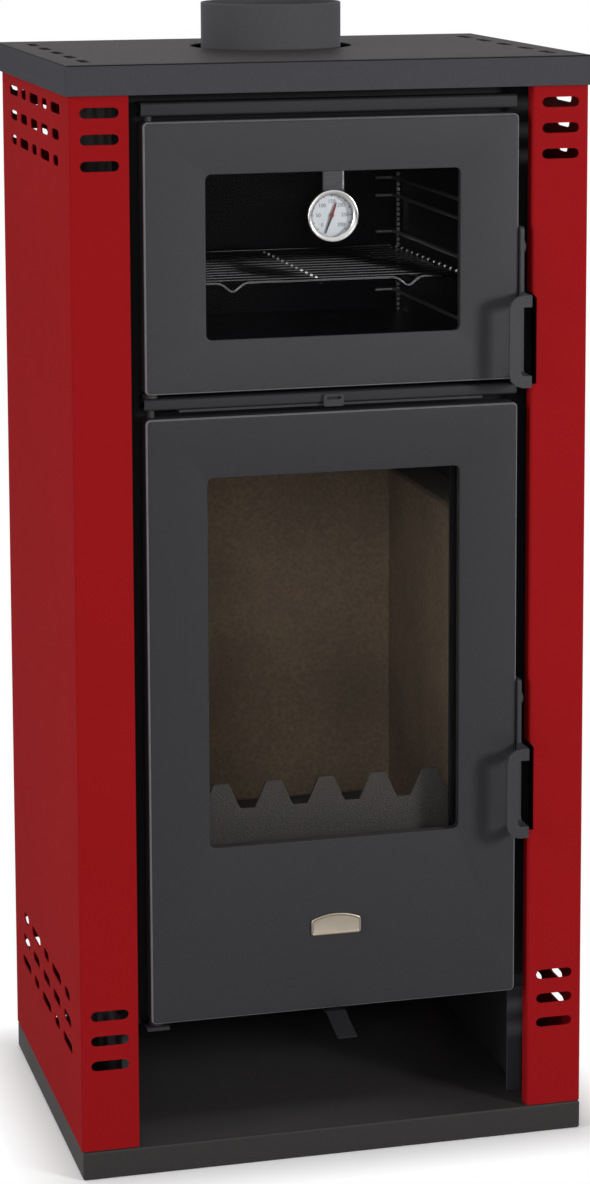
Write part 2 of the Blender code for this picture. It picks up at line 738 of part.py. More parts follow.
def carry(empty, *pieces):
    """Parent pieces to an empty without moving them."""
    bpy.context.view_layer.update()
    for piece in pieces:
        piece.parent = empty
        piece.matrix_parent_inverse = empty.matrix_world.inverted()


def row_heights():
    """Heights of the vent rows, three at the top and three at the bottom."""
    top = [TOP_ROW_HEIGHT - SLOT_ROW_PITCH * row for row in range(SLOT_ROWS)]
    bottom = [BOTTOM_ROW_HEIGHT + SLOT_ROW_PITCH * row for row in range(SLOT_ROWS)]
    return top, bottom


def side_slot_loops():
    """Slots of a side wall: long and short ones take turns, and change places from row to row."""
    loops = []
    for rows in row_heights():
        for row, height in enumerate(rows):
            for column in range(SIDE_SLOT_COUNT):
                depth = CASE_DEPTH / 2 + (column - (SIDE_SLOT_COUNT - 1) / 2) * SIDE_SLOT_PITCH
                long_first = SLOT_LONG if column % 2 == 0 else SLOT_SHORT
                short_first = SLOT_SHORT if column % 2 == 0 else SLOT_LONG
                length = (long_first, SLOT_MEDIUM, short_first)[row % 3]
                loops.append(obround(depth, height, length, SLOT_HEIGHT))
    return loops


def base_plate():
    """Folded tray that the stove stands on, with a lip turned in at the floor."""
    outer = HALF_CASE - BASE_INSET
    rear = CASE_DEPTH - BASE_REAR_INSET
    plate = block("base_plate", (-outer, -BASE_PROUD, 0.0), (outer, rear, BASE_HEIGHT), CHARCOAL)
    bevel(plate, BASE_BEVEL)
    inner = outer - BASE_SHEET
    cavity = block(
        "base_cavity",
        (-inner, BASE_SHEET - BASE_PROUD, BASE_SHEET),
        (inner, rear - BASE_SHEET, BASE_HEIGHT - BASE_SHEET),
    )
    mouth = outer - BASE_LIP
    opening = block(
        "base_opening",
        (-mouth, BASE_LIP - BASE_PROUD, -BASE_SHEET),
        (mouth, rear - BASE_LIP, BASE_HEIGHT / 2),
    )
    return cut(plate, join(cavity, opening))


def side_casing(name, side):
    """Enamelled side wall with its front and rear flanges, folded from one sheet and slotted for air."""
    inner, outer = FLANGE_INNER, HALF_CASE
    path = [
        (-inner, FRONT_RETURN),
        (-inner, 0.0),
        (-outer, 0.0),
        (-outer, CASE_DEPTH),
        (-inner, CASE_DEPTH),
        (-inner, CASE_DEPTH - REAR_RETURN),
    ]
    outline = sheet_profile(path, -CASE_SHEET, CASE_BEND)
    outline = [(-side * point[0], point[1]) for point in outline]
    casing = extrusion(name, [outline], "Z", CASE_BOTTOM, CASE_TOP, RED)
    top, bottom = row_heights()
    middle = side * FLANGE_MIDDLE
    flange_slots = [obround(middle, height, SLOT_MEDIUM, SLOT_HEIGHT) for height in top + bottom]
    through = extrusion(name + "_flange_slots", flange_slots, "Y", -CASE_BEND, CASE_DEPTH + CASE_BEND)
    wall = sorted((side * (outer - FLANGE_WIDTH / 4), side * (outer + CASE_BEND)))
    across = extrusion(name + "_wall_slots", side_slot_loops(), "X", wall[0], wall[1])
    return smooth(cut(casing, through, across), 25)


def rear_shield():
    """Heat shield between the two casings, with air slots at its top and bottom."""
    half = FLANGE_INNER - FIT_GAP
    face = CASE_DEPTH - SHIELD_INSET
    path = [(-half, face - SHIELD_RETURN), (-half, face), (half, face), (half, face - SHIELD_RETURN)]
    outline = sheet_profile(path, -SHIELD_SHEET, CASE_BEND)
    shield = extrusion("rear_shield", [outline], "Z", CASE_BOTTOM, CASE_TOP, CHARCOAL)
    top, bottom = row_heights()
    slots = []
    for height in (top[0], top[1], bottom[0], bottom[1]):
        for column in range(SHIELD_SLOT_COUNT):
            x = (column - (SHIELD_SLOT_COUNT - 1) / 2) * SHIELD_SLOT_PITCH
            slots.append(obround(x, height, SLOT_MEDIUM, SLOT_HEIGHT, steps=3))
    through = extrusion("rear_shield_slots", slots, "Y", face - SHIELD_RETURN, CASE_DEPTH + CASE_BEND)
    return cut(shield, through)


def top_plate():
    """Folded cover with a deep rim, air slots along both sides and a wide hole round the flue collar."""
    half = HALF_CASE + TOP_OVERHANG_SIDE
    low = (-half, -TOP_OVERHANG_FRONT, STOVE_HEIGHT - TOP_RIM)
    high = (half, CASE_DEPTH + TOP_OVERHANG_BACK, STOVE_HEIGHT)
    plate = open_box("top_plate", low, high, (0, 0, -1), TOP_SHEET, CHARCOAL, TOP_BEVEL)
    loops = [circle(0.0, FLUE_CENTRE_DEPTH, COLLAR_RADIUS + COLLAR_HOLE_CLEARANCE)]
    for side in (-1, 1):
        for column in range(TOP_SLOT_COUNT):
            depth = CASE_DEPTH / 2 + (column - (TOP_SLOT_COUNT - 1) / 2) * TOP_SLOT_PITCH
            slot = obround(depth, side * TOP_SLOT_X, SLOT_MEDIUM, SLOT_HEIGHT)
            loops.append([(point.y, point.x) for point in slot])
    under, over = STOVE_HEIGHT - 2 * TOP_SHEET, STOVE_HEIGHT + TOP_SHEET
    holes = extrusion("top_plate_holes", loops, "Z", under, over)
    return smooth(cut(plate, holes), 25)


def flue_collar():
    """Short tube over the smoke outlet, with a flat foot ring that sits on the body."""
    outer = COLLAR_RADIUS
    inner = outer - COLLAR_WALL
    top = STOVE_HEIGHT + COLLAR_RISE
    foot = BODY_TOP + FIT_GAP
    profile = [
        (inner, top),
        (outer, top),
        (outer, foot + COLLAR_FOOT_THICKNESS),
        (outer + COLLAR_FOOT, foot + COLLAR_FOOT_THICKNESS),
        (outer + COLLAR_FOOT, foot),
        (inner, foot),
    ]
    return turned("flue_collar", profile, CHARCOAL, Matrix.Translation((0, back(FLUE_CENTRE_DEPTH), 0)), 48)


def body_shell():
    """Welded firebox and smoke chamber: five walls, a smoke outlet in the top and an air inlet below."""
    low = (-BODY_HALF_WIDTH, BODY_FRONT, BODY_BOTTOM)
    high = (BODY_HALF_WIDTH, BODY_BACK, BODY_TOP)
    shell = open_box("body_shell", low, high, (0, -1, 0), BODY_PLATE, INNER_STEEL)
    outlet_loop = circle(0.0, FLUE_CENTRE_DEPTH, COLLAR_RADIUS - COLLAR_WALL)
    under, over = BODY_TOP - 2 * BODY_PLATE, BODY_TOP + BODY_PLATE
    outlet = extrusion("smoke_outlet", [outlet_loop], "Z", under, over)
    inlet = block(
        "air_inlet",
        (-INLET_HALF_WIDTH, INLET_FRONT, BODY_BOTTOM - BODY_PLATE),
        (INLET_HALF_WIDTH, INLET_BACK, BODY_BOTTOM + 2 * BODY_PLATE),
    )
    return cut(shell, outlet, inlet)


def air_slot_centres():
    """Places across the width of the secondary air slots, one half mirrored."""
    centres = [AIR_SLOT_FIRST + AIR_SLOT_PITCH * index for index in range(AIR_SLOT_PAIRS)]
    return [-x for x in centres] + centres


def rail(name, depth, low, high):
    """U channel across the front that opens to the back, reaching half way into the frame plate."""
    foot = FRAME_DEPTH + FRAME_PLATE / 2
    path = [(foot, high), (depth, high), (depth, low), (foot, low)]
    outline = sheet_profile(path, RAIL_SHEET, RAIL_SHEET * FOLD_RATIO)
    return extrusion(name, [outline], "X", -DOOR_HALF_WIDTH, DOOR_HALF_WIDTH)


def latch_slot_loop(handle_low):
    """Outline of the slot in the frame that a latch hook goes through."""
    pivot = latch_pivot_height(handle_low)
    return rectangle(
        STRIP_LEFT - LATCH_SLOT_SIDE,
        pivot - LATCH_SLOT_DOWN,
        STRIP_RIGHT + LATCH_SLOT_SIDE,
        pivot + LATCH_SLOT_UP,
    )


def latch_pivot_height(handle_low):
    """Height of a latch's pivot, given the lower end of its grip."""
    return handle_low + HANDLE_HEIGHT + STRIP_ABOVE - LATCH_PIVOT_BELOW_TOP


def front_frame():
    """Front plate with the oven and firebox openings, its rails, hinge lug and slots for the latches."""
    wide = FRAME_HALF_WIDTH
    air_height = (MIDDLE_RAIL_LOW + MIDDLE_RAIL_HIGH) / 2
    loops = [
        rectangle(-wide, BODY_BOTTOM - FRAME_DROP, wide, CASE_TOP),
        rectangle(-OVEN_HALF_WIDTH, OVEN_FLOOR, OVEN_HALF_WIDTH, OVEN_CEILING, OPENING_RADIUS),
        rectangle(-FIRE_HALF_WIDTH, FIRE_SILL, FIRE_HALF_WIDTH, FIRE_LINTEL, OPENING_RADIUS),
        latch_slot_loop(OVEN_HANDLE_LOW),
        latch_slot_loop(FIRE_HANDLE_LOW),
        rectangle(
            -TONGUE_WIDTH / 2 - SLIDE_CLEARANCE,
            SLIDE_TOP - SLIDE_SHEET - SLIDE_CLEARANCE,
            TONGUE_WIDTH / 2 + SLIDE_CLEARANCE,
            BODY_BOTTOM,
        ),
    ]
    frame = extrusion("front_frame", loops, "Y", FRAME_DEPTH, FRAME_BACK, CHARCOAL)
    centres = air_slot_centres()
    hole_loops = [obround(x, air_height, AIR_SLOT_LENGTH, AIR_HOLE_HEIGHT, 2) for x in centres]
    before, behind = FRAME_DEPTH - FRAME_PLATE, FRAME_BACK + FRAME_PLATE
    air_holes = extrusion("frame_air_holes", hole_loops, "Y", before, behind)
    middle = rail("middle_rail", MIDDLE_RAIL_DEPTH, MIDDLE_RAIL_LOW, MIDDLE_RAIL_HIGH)
    top = rail("top_rail", TOP_RAIL_DEPTH, TOP_RAIL_LOW, TOP_RAIL_HIGH)
    lug = block(
        "hinge_lug",
        (HINGE_X - HINGE_LUG_HALF_WIDTH, HINGE_DEPTH - HINGE_LUG_HALF_WIDTH, LUG_LOW),
        (HINGE_X + HINGE_LUG_HALF_WIDTH, FRAME_DEPTH + FRAME_PLATE / 2, LUG_LOW + FRAME_PLATE),
    )
    join(frame, middle, top, lug)
    support_top = BAR_TOP - SLIDE_SHEET - SLIDE_CLEARANCE
    for side in (-1, 1):
        ends = sorted((side * BAR_SUPPORT_OUTER, side * (BAR_SUPPORT_OUTER - BAR_SUPPORT_WIDTH)))
        support = block(
            "bar_support",
            (ends[0], BAR_BACK - BAR_SUPPORT_OVERLAP, support_top - RAIL_SHEET),
            (ends[1], FRAME_DEPTH + FRAME_PLATE / 2, support_top),
        )
        join(frame, support)
    hole = circle(HINGE_X, HINGE_DEPTH, HINGE_PIN_RADIUS + FIT_GAP, 16)
    pin_holes = [
        extrusion("lug_hole", [hole], "Z", LUG_LOW - FRAME_PLATE, LUG_LOW + 2 * FRAME_PLATE),
        extrusion(
            "middle_pin_hole", [hole], "Z", MIDDLE_RAIL_LOW - RAIL_SHEET, MIDDLE_RAIL_HIGH + RAIL_SHEET,
        ),
        extrusion("top_pin_hole", [hole], "Z", TOP_RAIL_LOW - RAIL_SHEET, TOP_RAIL_LOW + 2 * RAIL_SHEET),
    ]
    slot_depth = (MIDDLE_RAIL_DEPTH + RAIL_SHEET + FRAME_DEPTH) / 2
    lip_loops = [obround(x, slot_depth, AIR_SLOT_LENGTH, AIR_SLOT_WIDTH) for x in centres]
    under, over = MIDDLE_RAIL_LOW - RAIL_SHEET, MIDDLE_RAIL_LOW + 2 * RAIL_SHEET
    lip_slots = extrusion("lip_slots", lip_loops, "Z", under, over)
    return cut(frame, air_holes, lip_slots, *pin_holes)


def oven_box():
    """Enamelled baking chamber, open at the front."""
    low = (-OVEN_HALF_WIDTH - OVEN_SHEET, BODY_FRONT, OVEN_FLOOR - OVEN_SHEET)
    high = (OVEN_HALF_WIDTH + OVEN_SHEET, OVEN_BACK + OVEN_SHEET, OVEN_CEILING + OVEN_SHEET)
    return open_box("oven_box", low, high, (0, -1, 0), OVEN_SHEET, ENAMEL)


def fire_bed():
    """Plate that carries the bricks and the grate."""
    half = BODY_INNER - FIT_GAP
    loops = [
        rectangle(-half, BODY_FRONT + FIT_GAP, half, BODY_BACK - BODY_PLATE - FIT_GAP),
        rectangle(-GRATE_HALF_WIDTH, GRATE_FRONT, GRATE_HALF_WIDTH, GRATE_BACK),
    ]
    return extrusion("fire_bed_plate", loops, "Z", BED_HEIGHT, BED_TOP, INNER_STEEL)


def grate():
    """Cast grate that drops into the fire bed, with long slots between its bars."""
    flange_low = BED_TOP + FIT_GAP
    plate = block(
        "grate",
        (-GRATE_HALF_WIDTH - GRATE_FLANGE, GRATE_FRONT - GRATE_FLANGE, flange_low),
        (GRATE_HALF_WIDTH + GRATE_FLANGE, GRATE_BACK + GRATE_FLANGE, flange_low + GRATE_FLANGE_THICKNESS),
        CAST_IRON,
    )
    body = block(
        "grate_body",
        (-GRATE_HALF_WIDTH + FIT_GAP, GRATE_FRONT + FIT_GAP, flange_low - GRATE_BODY),
        (GRATE_HALF_WIDTH - FIT_GAP, GRATE_BACK - FIT_GAP, flange_low + GRATE_FLANGE_THICKNESS / 2),
    )
    pitch = 2 * (GRATE_HALF_WIDTH - GRATE_SLOT_MARGIN) / GRATE_BARS
    middle = (GRATE_FRONT + GRATE_BACK) / 2
    length = GRATE_BACK - GRATE_FRONT - 2 * GRATE_SLOT_MARGIN
    loops = []
    for index in range(GRATE_BARS):
        x = (index - (GRATE_BARS - 1) / 2) * pitch
        loops.append([(point.y, point.x) for point in obround(middle, x, length, GRATE_SLOT_WIDTH, 2)])
    slots = extrusion("grate_slots", loops, "Z", flange_low - 2 * GRATE_BODY, flange_low + GRATE_BODY)
    return cut(join(plate, body), slots)


def firebricks():
    """Two side slabs and a rear slab that stand on the fire bed."""
    low = BED_TOP + FIT_GAP
    high = low + BRICK_HEIGHT
    outer = BODY_INNER - FIT_GAP
    inner = outer - BRICK_THICKNESS
    rear = BODY_BACK - BODY_PLATE - FIT_GAP
    front = BODY_FRONT + FIT_GAP
    split = rear - BRICK_THICKNESS
    for name, low_corner, high_corner in (
        ("firebrick_left", (-outer, front, low), (-inner, split - FIT_GAP, high)),
        ("firebrick_right", (inner, front, low), (outer, split - FIT_GAP, high)),
        ("firebrick_back", (-outer, split, low), (outer, rear, high)),
    ):
        bevel(block(name, low_corner, high_corner, BRICK), BRICK_BEVEL, 1)
    return inner


def log_guard(half_width):
    """Plate in front of the logs whose upper edge is cut into blunt teeth."""
    outline = [(-half_width, BED_TOP + FIT_GAP), (half_width, BED_TOP + FIT_GAP)]
    top = GUARD_TOOTH_TOP / 2
    foot = (GUARD_TOOTH_PITCH - GUARD_VALLEY_WIDTH) / 2
    edge = [(-half_width, GUARD_VALLEY)]
    tip = GUARD_VALLEY + GUARD_TOOTH_HEIGHT
    for index in range(GUARD_TEETH):
        centre = (index - (GUARD_TEETH - 1) / 2) * GUARD_TOOTH_PITCH
        edge += [(centre - foot, GUARD_VALLEY), (centre - top, tip)]
        edge += [(centre + top, tip), (centre + foot, GUARD_VALLEY)]
    edge.append((half_width, GUARD_VALLEY))
    front = BODY_FRONT + FIT_GAP
    return extrusion("log_guard", [outline + edge[::-1]], "Y", front, front + GUARD_THICKNESS, CAST_IRON)


def ash_pan():
    """Tray under the grate with a turned-down pull, and the two runners that it slides on."""
    low = (-PAN_HALF_WIDTH, PAN_FRONT, PAN_BOTTOM)
    high = (PAN_HALF_WIDTH, PAN_BACK, PAN_BOTTOM + PAN_HEIGHT)
    pan = open_box("ash_pan", low, high, (0, 0, 1), PAN_SHEET, ZINC)
    level = PAN_BOTTOM + PAN_HEIGHT - PAN_PULL_DROP
    path = [
        (PAN_FRONT + PAN_SHEET / 2, level),
        (PAN_FRONT - PAN_PULL_REACH, level),
        (PAN_FRONT - PAN_PULL_REACH, level - PAN_PULL_REACH),
    ]
    outline = sheet_profile(path, PAN_SHEET, PAN_SHEET * FOLD_RATIO)
    join(pan, extrusion("pan_pull", [outline], "X", -PAN_PULL_HALF_WIDTH, PAN_PULL_HALF_WIDTH))
    foot = BODY_BOTTOM + BODY_PLATE + FIT_GAP
    for name, side in (("ash_pan_runner_left", -1), ("ash_pan_runner_right", 1)):
        path = [(side * RUNNER_HALF_SPAN, foot), (side * RUNNER_HALF_SPAN, PAN_BOTTOM - FIT_GAP)]
        path.append((side * (RUNNER_HALF_SPAN - RUNNER_WIDTH), PAN_BOTTOM - FIT_GAP))
        outline = sheet_profile(path, side * RUNNER_SHEET, RUNNER_SHEET * FOLD_RATIO)
        extrusion(name, [outline], "Y", PAN_FRONT, PAN_BACK, ZINC)
    return pan


def legs():
    """Folded side walls of the wood store, which carry the body on the base."""
    low = BASE_HEIGHT + FIT_GAP
    high = BODY_BOTTOM - FIT_GAP
    rear = BODY_BACK
    for name, side in (("leg_left", -1), ("leg_right", 1)):
        path = [
            (side * (LEG_OUTER - LEG_FLANGE), LEG_FRONT),
            (side * LEG_OUTER, LEG_FRONT),
            (side * LEG_OUTER, rear),
        ]
        outline = sheet_profile(path, side * LEG_SHEET, LEG_SHEET * FOLD_RATIO)
        leg = extrusion(name, [outline], "Z", low, high, CHARCOAL)
        inward = sorted((side * (LEG_OUTER - LEG_SHEET / 2), side * (LEG_OUTER - LEG_TOP_FLANGE)))
        outward = sorted((side * (LEG_OUTER - LEG_SHEET / 2), side * (LEG_OUTER + LEG_FOOT)))
        front = LEG_FRONT + 2 * LEG_SHEET
        behind = rear - LEG_SHEET
        head = block("leg_head", (inward[0], front, high - LEG_SHEET), (inward[1], behind, high))
        foot = block("leg_foot", (outward[0], front, low), (outward[1], behind, low + LEG_SHEET))
        join(leg, head, foot)


def air_guide(name, depth, half_width):
    """Omega strap under the body in which the primary air slide runs."""
    top = BODY_BOTTOM - FIT_GAP
    web = SLIDE_TOP - SLIDE_SHEET - SLIDE_CLEARANCE
    low = web - SLIDE_SHEET
    inner = half_width + SLIDE_CLEARANCE
    outer = inner + SLIDE_SHEET
    path = [
        (outer + GUIDE_FOOT, top - SLIDE_SHEET),
        (outer, top - SLIDE_SHEET),
        (outer, low),
        (-outer, low),
        (-outer, top - SLIDE_SHEET),
        (-outer - GUIDE_FOOT, top - SLIDE_SHEET),
    ]
    outline = sheet_profile(path, -SLIDE_SHEET, 0.0)
    return extrusion(name, [outline], "Y", depth, depth + GUIDE_WIDTH, INNER_STEEL)


def primary_air_slide():
    """Damper plate under the inlet, drawn by a strip that ends in a tongue below the firebox door."""
    low = SLIDE_TOP - SLIDE_SHEET
    damper_back = INLET_FRONT - DAMPER_FRONT_GAP
    damper_front = damper_back - PRIMARY_TRAVEL - DAMPER_OVERLAP
    half = TONGUE_WIDTH / 2
    outline = [
        (-half, TONGUE_BEND_DEPTH),
        (half, TONGUE_BEND_DEPTH),
        (half, damper_front),
        (DAMPER_HALF_WIDTH, damper_front + DAMPER_SHOULDER),
        (DAMPER_HALF_WIDTH, damper_back),
        (-DAMPER_HALF_WIDTH, damper_back),
        (-DAMPER_HALF_WIDTH, damper_front + DAMPER_SHOULDER),
        (-half, damper_front),
    ]
    slide = extrusion("primary_air_slide", [outline], "Z", low, SLIDE_TOP, CHARCOAL)
    path = [
        (TONGUE_BEND_DEPTH + TONGUE_LAP, SLIDE_TOP - FIT_GAP / 2),
        (TONGUE_BEND_DEPTH, SLIDE_TOP - FIT_GAP / 2),
        (-TONGUE_REACH, SLIDE_TOP - TONGUE_DROP),
    ]
    outline = sheet_profile(path, SLIDE_SHEET - FIT_GAP, 0.0)
    tongue = extrusion("tongue", [outline], "X", -half, half)
    slide = join(slide, tongue)
    carry(joint_empty("primary_air_axis", (0.0, back(0.0), SLIDE_TOP)), slide)
    return slide


def secondary_air_slide():
    """Slotted bar under the middle rail, moved sideways by a tab in front of it."""
    low = BAR_TOP - SLIDE_SHEET
    bar_front = MIDDLE_RAIL_DEPTH + RAIL_SHEET
    tab_back = MIDDLE_RAIL_DEPTH - SLIDE_CLEARANCE
    tab_front = tab_back - SLIDE_SHEET
    bar = block(
        "secondary_air_slide",
        (-BAR_HALF_LENGTH, bar_front, low),
        (BAR_HALF_LENGTH, BAR_BACK, BAR_TOP),
        CHARCOAL,
    )
    neck_half = TAB_HALF_WIDTH - FIT_GAP
    neck = block(
        "tab_neck",
        (-neck_half, tab_front + SLIDE_SHEET / 2, low + FIT_GAP / 2),
        (neck_half, bar_front + SLIDE_SHEET, BAR_TOP - FIT_GAP / 2),
    )
    slot_depth = (bar_front + FRAME_DEPTH) / 2
    loops = [obround(x, slot_depth, BAR_SLOT_LENGTH, AIR_SLOT_WIDTH) for x in air_slot_centres()]
    slots = extrusion("bar_slots", loops, "Z", low - SLIDE_SHEET, BAR_TOP + SLIDE_SHEET)
    half = TAB_HALF_WIDTH
    tab_low = low - FIT_GAP
    tab_high = low + TAB_RISE
    hole_height = tab_high - TAB_HOLE_DROP
    tab_loops = [
        rounded(
            [(-half, tab_low), (half, tab_low), (half, tab_high), (-half, tab_high)],
            SLIDE_SHEET,
            closed=True,
        ),
        obround(0.0, hole_height, TAB_HOLE_LENGTH, TAB_HOLE_HEIGHT),
    ]
    tab = extrusion("air_tab", tab_loops, "Y", tab_front, tab_back)
    cut(join(bar, neck, tab), slots)
    carry(joint_empty("secondary_air_axis", (0.0, back(MIDDLE_RAIL_DEPTH), BAR_TOP)), bar)
    return bar


def ring(name, half_width, low, high, width, depth_low, depth_high, mat, radius=0.0):
    """Flat frame whose inner edge is given, width wide all round."""
    loops = [
        rectangle(-half_width - width, low - width, half_width + width, high + width, radius + width),
        rectangle(-half_width, low, half_width, high, radius),
    ]
    if radius == 0.0:
        loops[0] = rectangle(-half_width - width, low - width, half_width + width, high + width)
    return extrusion(name, loops, "Y", depth_low, depth_high, mat)


def seal_rope(name, half_width, low, high, depth):
    """Round rope laid in a closed loop with rounded corners."""
    corner = rectangle(-half_width, low, half_width, high, SEAL_BEND)
    points = [(point[0], depth, point[1]) for point in corner]
    return wire(name, points, SEAL_RADIUS, ROPE, closed=True)


def door(prefix, low, high, window_low, window_high):
    """Folded door skin with its window glass, gasket, retainer and the channel that holds the seal rope."""
    panel = open_box(
        prefix + "_panel",
        (-DOOR_HALF_WIDTH, 0.0, low),
        (DOOR_HALF_WIDTH, DOOR_THICKNESS, high),
        (0, 1, 0),
        DOOR_SHEET,
        CHARCOAL,
        DOOR_BEND,
    )
    window = rectangle(-WINDOW_HALF_WIDTH, window_low, WINDOW_HALF_WIDTH, window_high, WINDOW_RADIUS)
    window_cut = extrusion(prefix + "_window", [window], "Y", -DOOR_SHEET, 2 * DOOR_SHEET)
    hole = circle(HINGE_X, HINGE_DEPTH, HINGE_PIN_RADIUS + HINGE_HOLE_CLEARANCE, 16)
    pin_bore = extrusion(prefix + "_pin_bore", [hole], "Z", low - DOOR_SHEET, high + DOOR_SHEET)
    smooth(cut(panel, window_cut, pin_bore), 25)

    inner_half = WINDOW_HALF_WIDTH + GASKET_REVEAL
    inner_low = window_low - GASKET_REVEAL
    inner_high = window_high + GASKET_REVEAL
    gasket_front = DOOR_SHEET + FIT_GAP
    gasket = ring(
        prefix + "_glass_gasket", inner_half, inner_low, inner_high, GASKET_WIDTH,
        gasket_front, gasket_front + GASKET_THICKNESS, ROPE,
    )
    edge = GLASS_OVERLAP
    pane_half = WINDOW_HALF_WIDTH + edge
    pane = rectangle(-pane_half, window_low - edge, pane_half, window_high + edge, WINDOW_RADIUS)
    glass = extrusion(prefix + "_glass", [pane], "Y", GLASS_FRONT, GLASS_BACK, GLASS)
    retainer = ring(
        prefix + "_glass_retainer", inner_half, inner_low, inner_high, RETAINER_WIDTH,
        GLASS_BACK + FIT_GAP, GLASS_BACK + FIT_GAP + RETAINER_THICKNESS, INNER_STEEL, WINDOW_RADIUS,
    )

    channel_half = CHANNEL_OUTER - CHANNEL_WIDTH
    side_margin = DOOR_HALF_WIDTH - channel_half
    channel_low = low + side_margin
    channel_high = high - side_margin
    channel = ring(
        prefix + "_seal_channel", channel_half, channel_low, channel_high, CHANNEL_WIDTH,
        DOOR_THICKNESS - CHANNEL_HEIGHT, DOOR_THICKNESS, INNER_STEEL,
    )
    groove = ring(
        prefix + "_seal_groove", channel_half + CHANNEL_SHEET, channel_low - CHANNEL_SHEET,
        channel_high + CHANNEL_SHEET, CHANNEL_WIDTH - 2 * CHANNEL_SHEET,
        DOOR_THICKNESS - CHANNEL_HEIGHT + CHANNEL_SHEET, DOOR_THICKNESS + CHANNEL_HEIGHT, None,
    )
    cut(channel, groove)
    pins = circle(HINGE_X, HINGE_DEPTH, HINGE_PIN_RADIUS + HINGE_HOLE_CLEARANCE, 16)
    cut(channel, extrusion(prefix + "_channel_bore", [pins], "Z", low - DOOR_SHEET, high + DOOR_SHEET))
    rope_depth = FRAME_DEPTH - 2 * FIT_GAP - SEAL_RADIUS
    centre = CHANNEL_WIDTH / 2
    rope = seal_rope(
        prefix + "_seal", channel_half + centre, channel_low - centre, channel_high + centre, rope_depth,
    )
    return [panel, gasket, glass, retainer, channel, rope]


def handle(name, handle_low):
    """Latch lever of folded sheet: C grip in front, strip beside the door, hook through the frame."""
    left, right = HANDLE_LEFT, STRIP_RIGHT
    high = handle_low + HANDLE_HEIGHT
    bar = HANDLE_BAR
    grip_outline = [
        (right, handle_low),
        (left, handle_low),
        (left, high),
        (right, high),
        (right, high - bar),
        (left + bar, high - bar),
        (left + bar, handle_low + bar),
        (right, handle_low + bar),
    ]
    outer_corner, inner_corner = HANDLE_CORNER, HANDLE_INNER_CORNER
    radii = [0.0, outer_corner, outer_corner, 0.0, 0.0, inner_corner, inner_corner, 0.0]
    grip_back = -HANDLE_STANDOFF
    grip_front = grip_back - HANDLE_SHEET
    grip_loop = rounded(grip_outline, radii, closed=True)
    grip = extrusion(name, [grip_loop], "Y", grip_front, grip_back, CHARCOAL)

    pivot = latch_pivot_height(handle_low)
    strip_top = high + STRIP_ABOVE
    hook_back = FRAME_BACK + 2 * FIT_GAP + HOOK_NOSE_LENGTH
    nose_front = FRAME_BACK + 2 * FIT_GAP
    arm_front = grip_front + FIT_GAP
    slim = FIT_GAP / 2
    side_outline = [
        (-STRIP_FRONT, strip_top),
        (-STRIP_FRONT, high - slim),
        (arm_front, high - slim),
        (arm_front, high - bar + slim),
        (-STRIP_FRONT, high - bar + slim),
        (-STRIP_FRONT, handle_low + bar - slim),
        (arm_front, handle_low + bar - slim),
        (arm_front, handle_low + slim),
        (STRIP_BACK, handle_low + slim),
        (STRIP_BACK, pivot - HOOK_ARM_DOWN),
        (hook_back, pivot - HOOK_ARM_DOWN),
        (hook_back, pivot + HOOK_ARM_UP + HOOK_NOSE),
        (nose_front, pivot + HOOK_ARM_UP + HOOK_NOSE),
        (nose_front, pivot + HOOK_ARM_UP),
        (STRIP_BACK, pivot + HOOK_ARM_UP),
        (STRIP_BACK, strip_top),
    ]
    corner = HANDLE_SHEET
    side_radii = [
        corner, corner / 2, 0.0, 0.0, corner, corner, 0.0, 0.0,
        corner, corner / 2, 0.0, 0.0, 0.0, 0.0, corner / 2, corner,
    ]
    side_loop = rounded(side_outline, side_radii, closed=True)
    strip = extrusion(name + "_strip", [side_loop], "X", STRIP_LEFT, right)
    bore = circle(LATCH_PIVOT_DEPTH, pivot, LATCH_PIVOT_RADIUS + FIT_GAP, 16)
    hole = extrusion(name + "_bore", [bore], "X", STRIP_LEFT - HANDLE_SHEET, right + HANDLE_SHEET)
    return cut(join(grip, strip), hole)


def latch_pivot(name, handle_low):
    """Headed stud fixed in the door's side, on which the latch lever swings."""
    shank = LATCH_PIVOT_RADIUS
    start = DOOR_HALF_WIDTH + FIT_GAP
    shoulder = STRIP_RIGHT + FIT_GAP
    end = shoulder + LATCH_HEAD_THICKNESS
    profile = [
        (0.0, end),
        (LATCH_HEAD_RADIUS, end),
        (LATCH_HEAD_RADIUS, shoulder),
        (shank, shoulder),
        (shank, start),
        (0.0, start),
    ]
    place = Matrix.Translation((0.0, back(LATCH_PIVOT_DEPTH), latch_pivot_height(handle_low)))
    return turned(name, profile, INNER_STEEL, place @ Matrix.Rotation(math.pi / 2, 4, "Y"), 16)


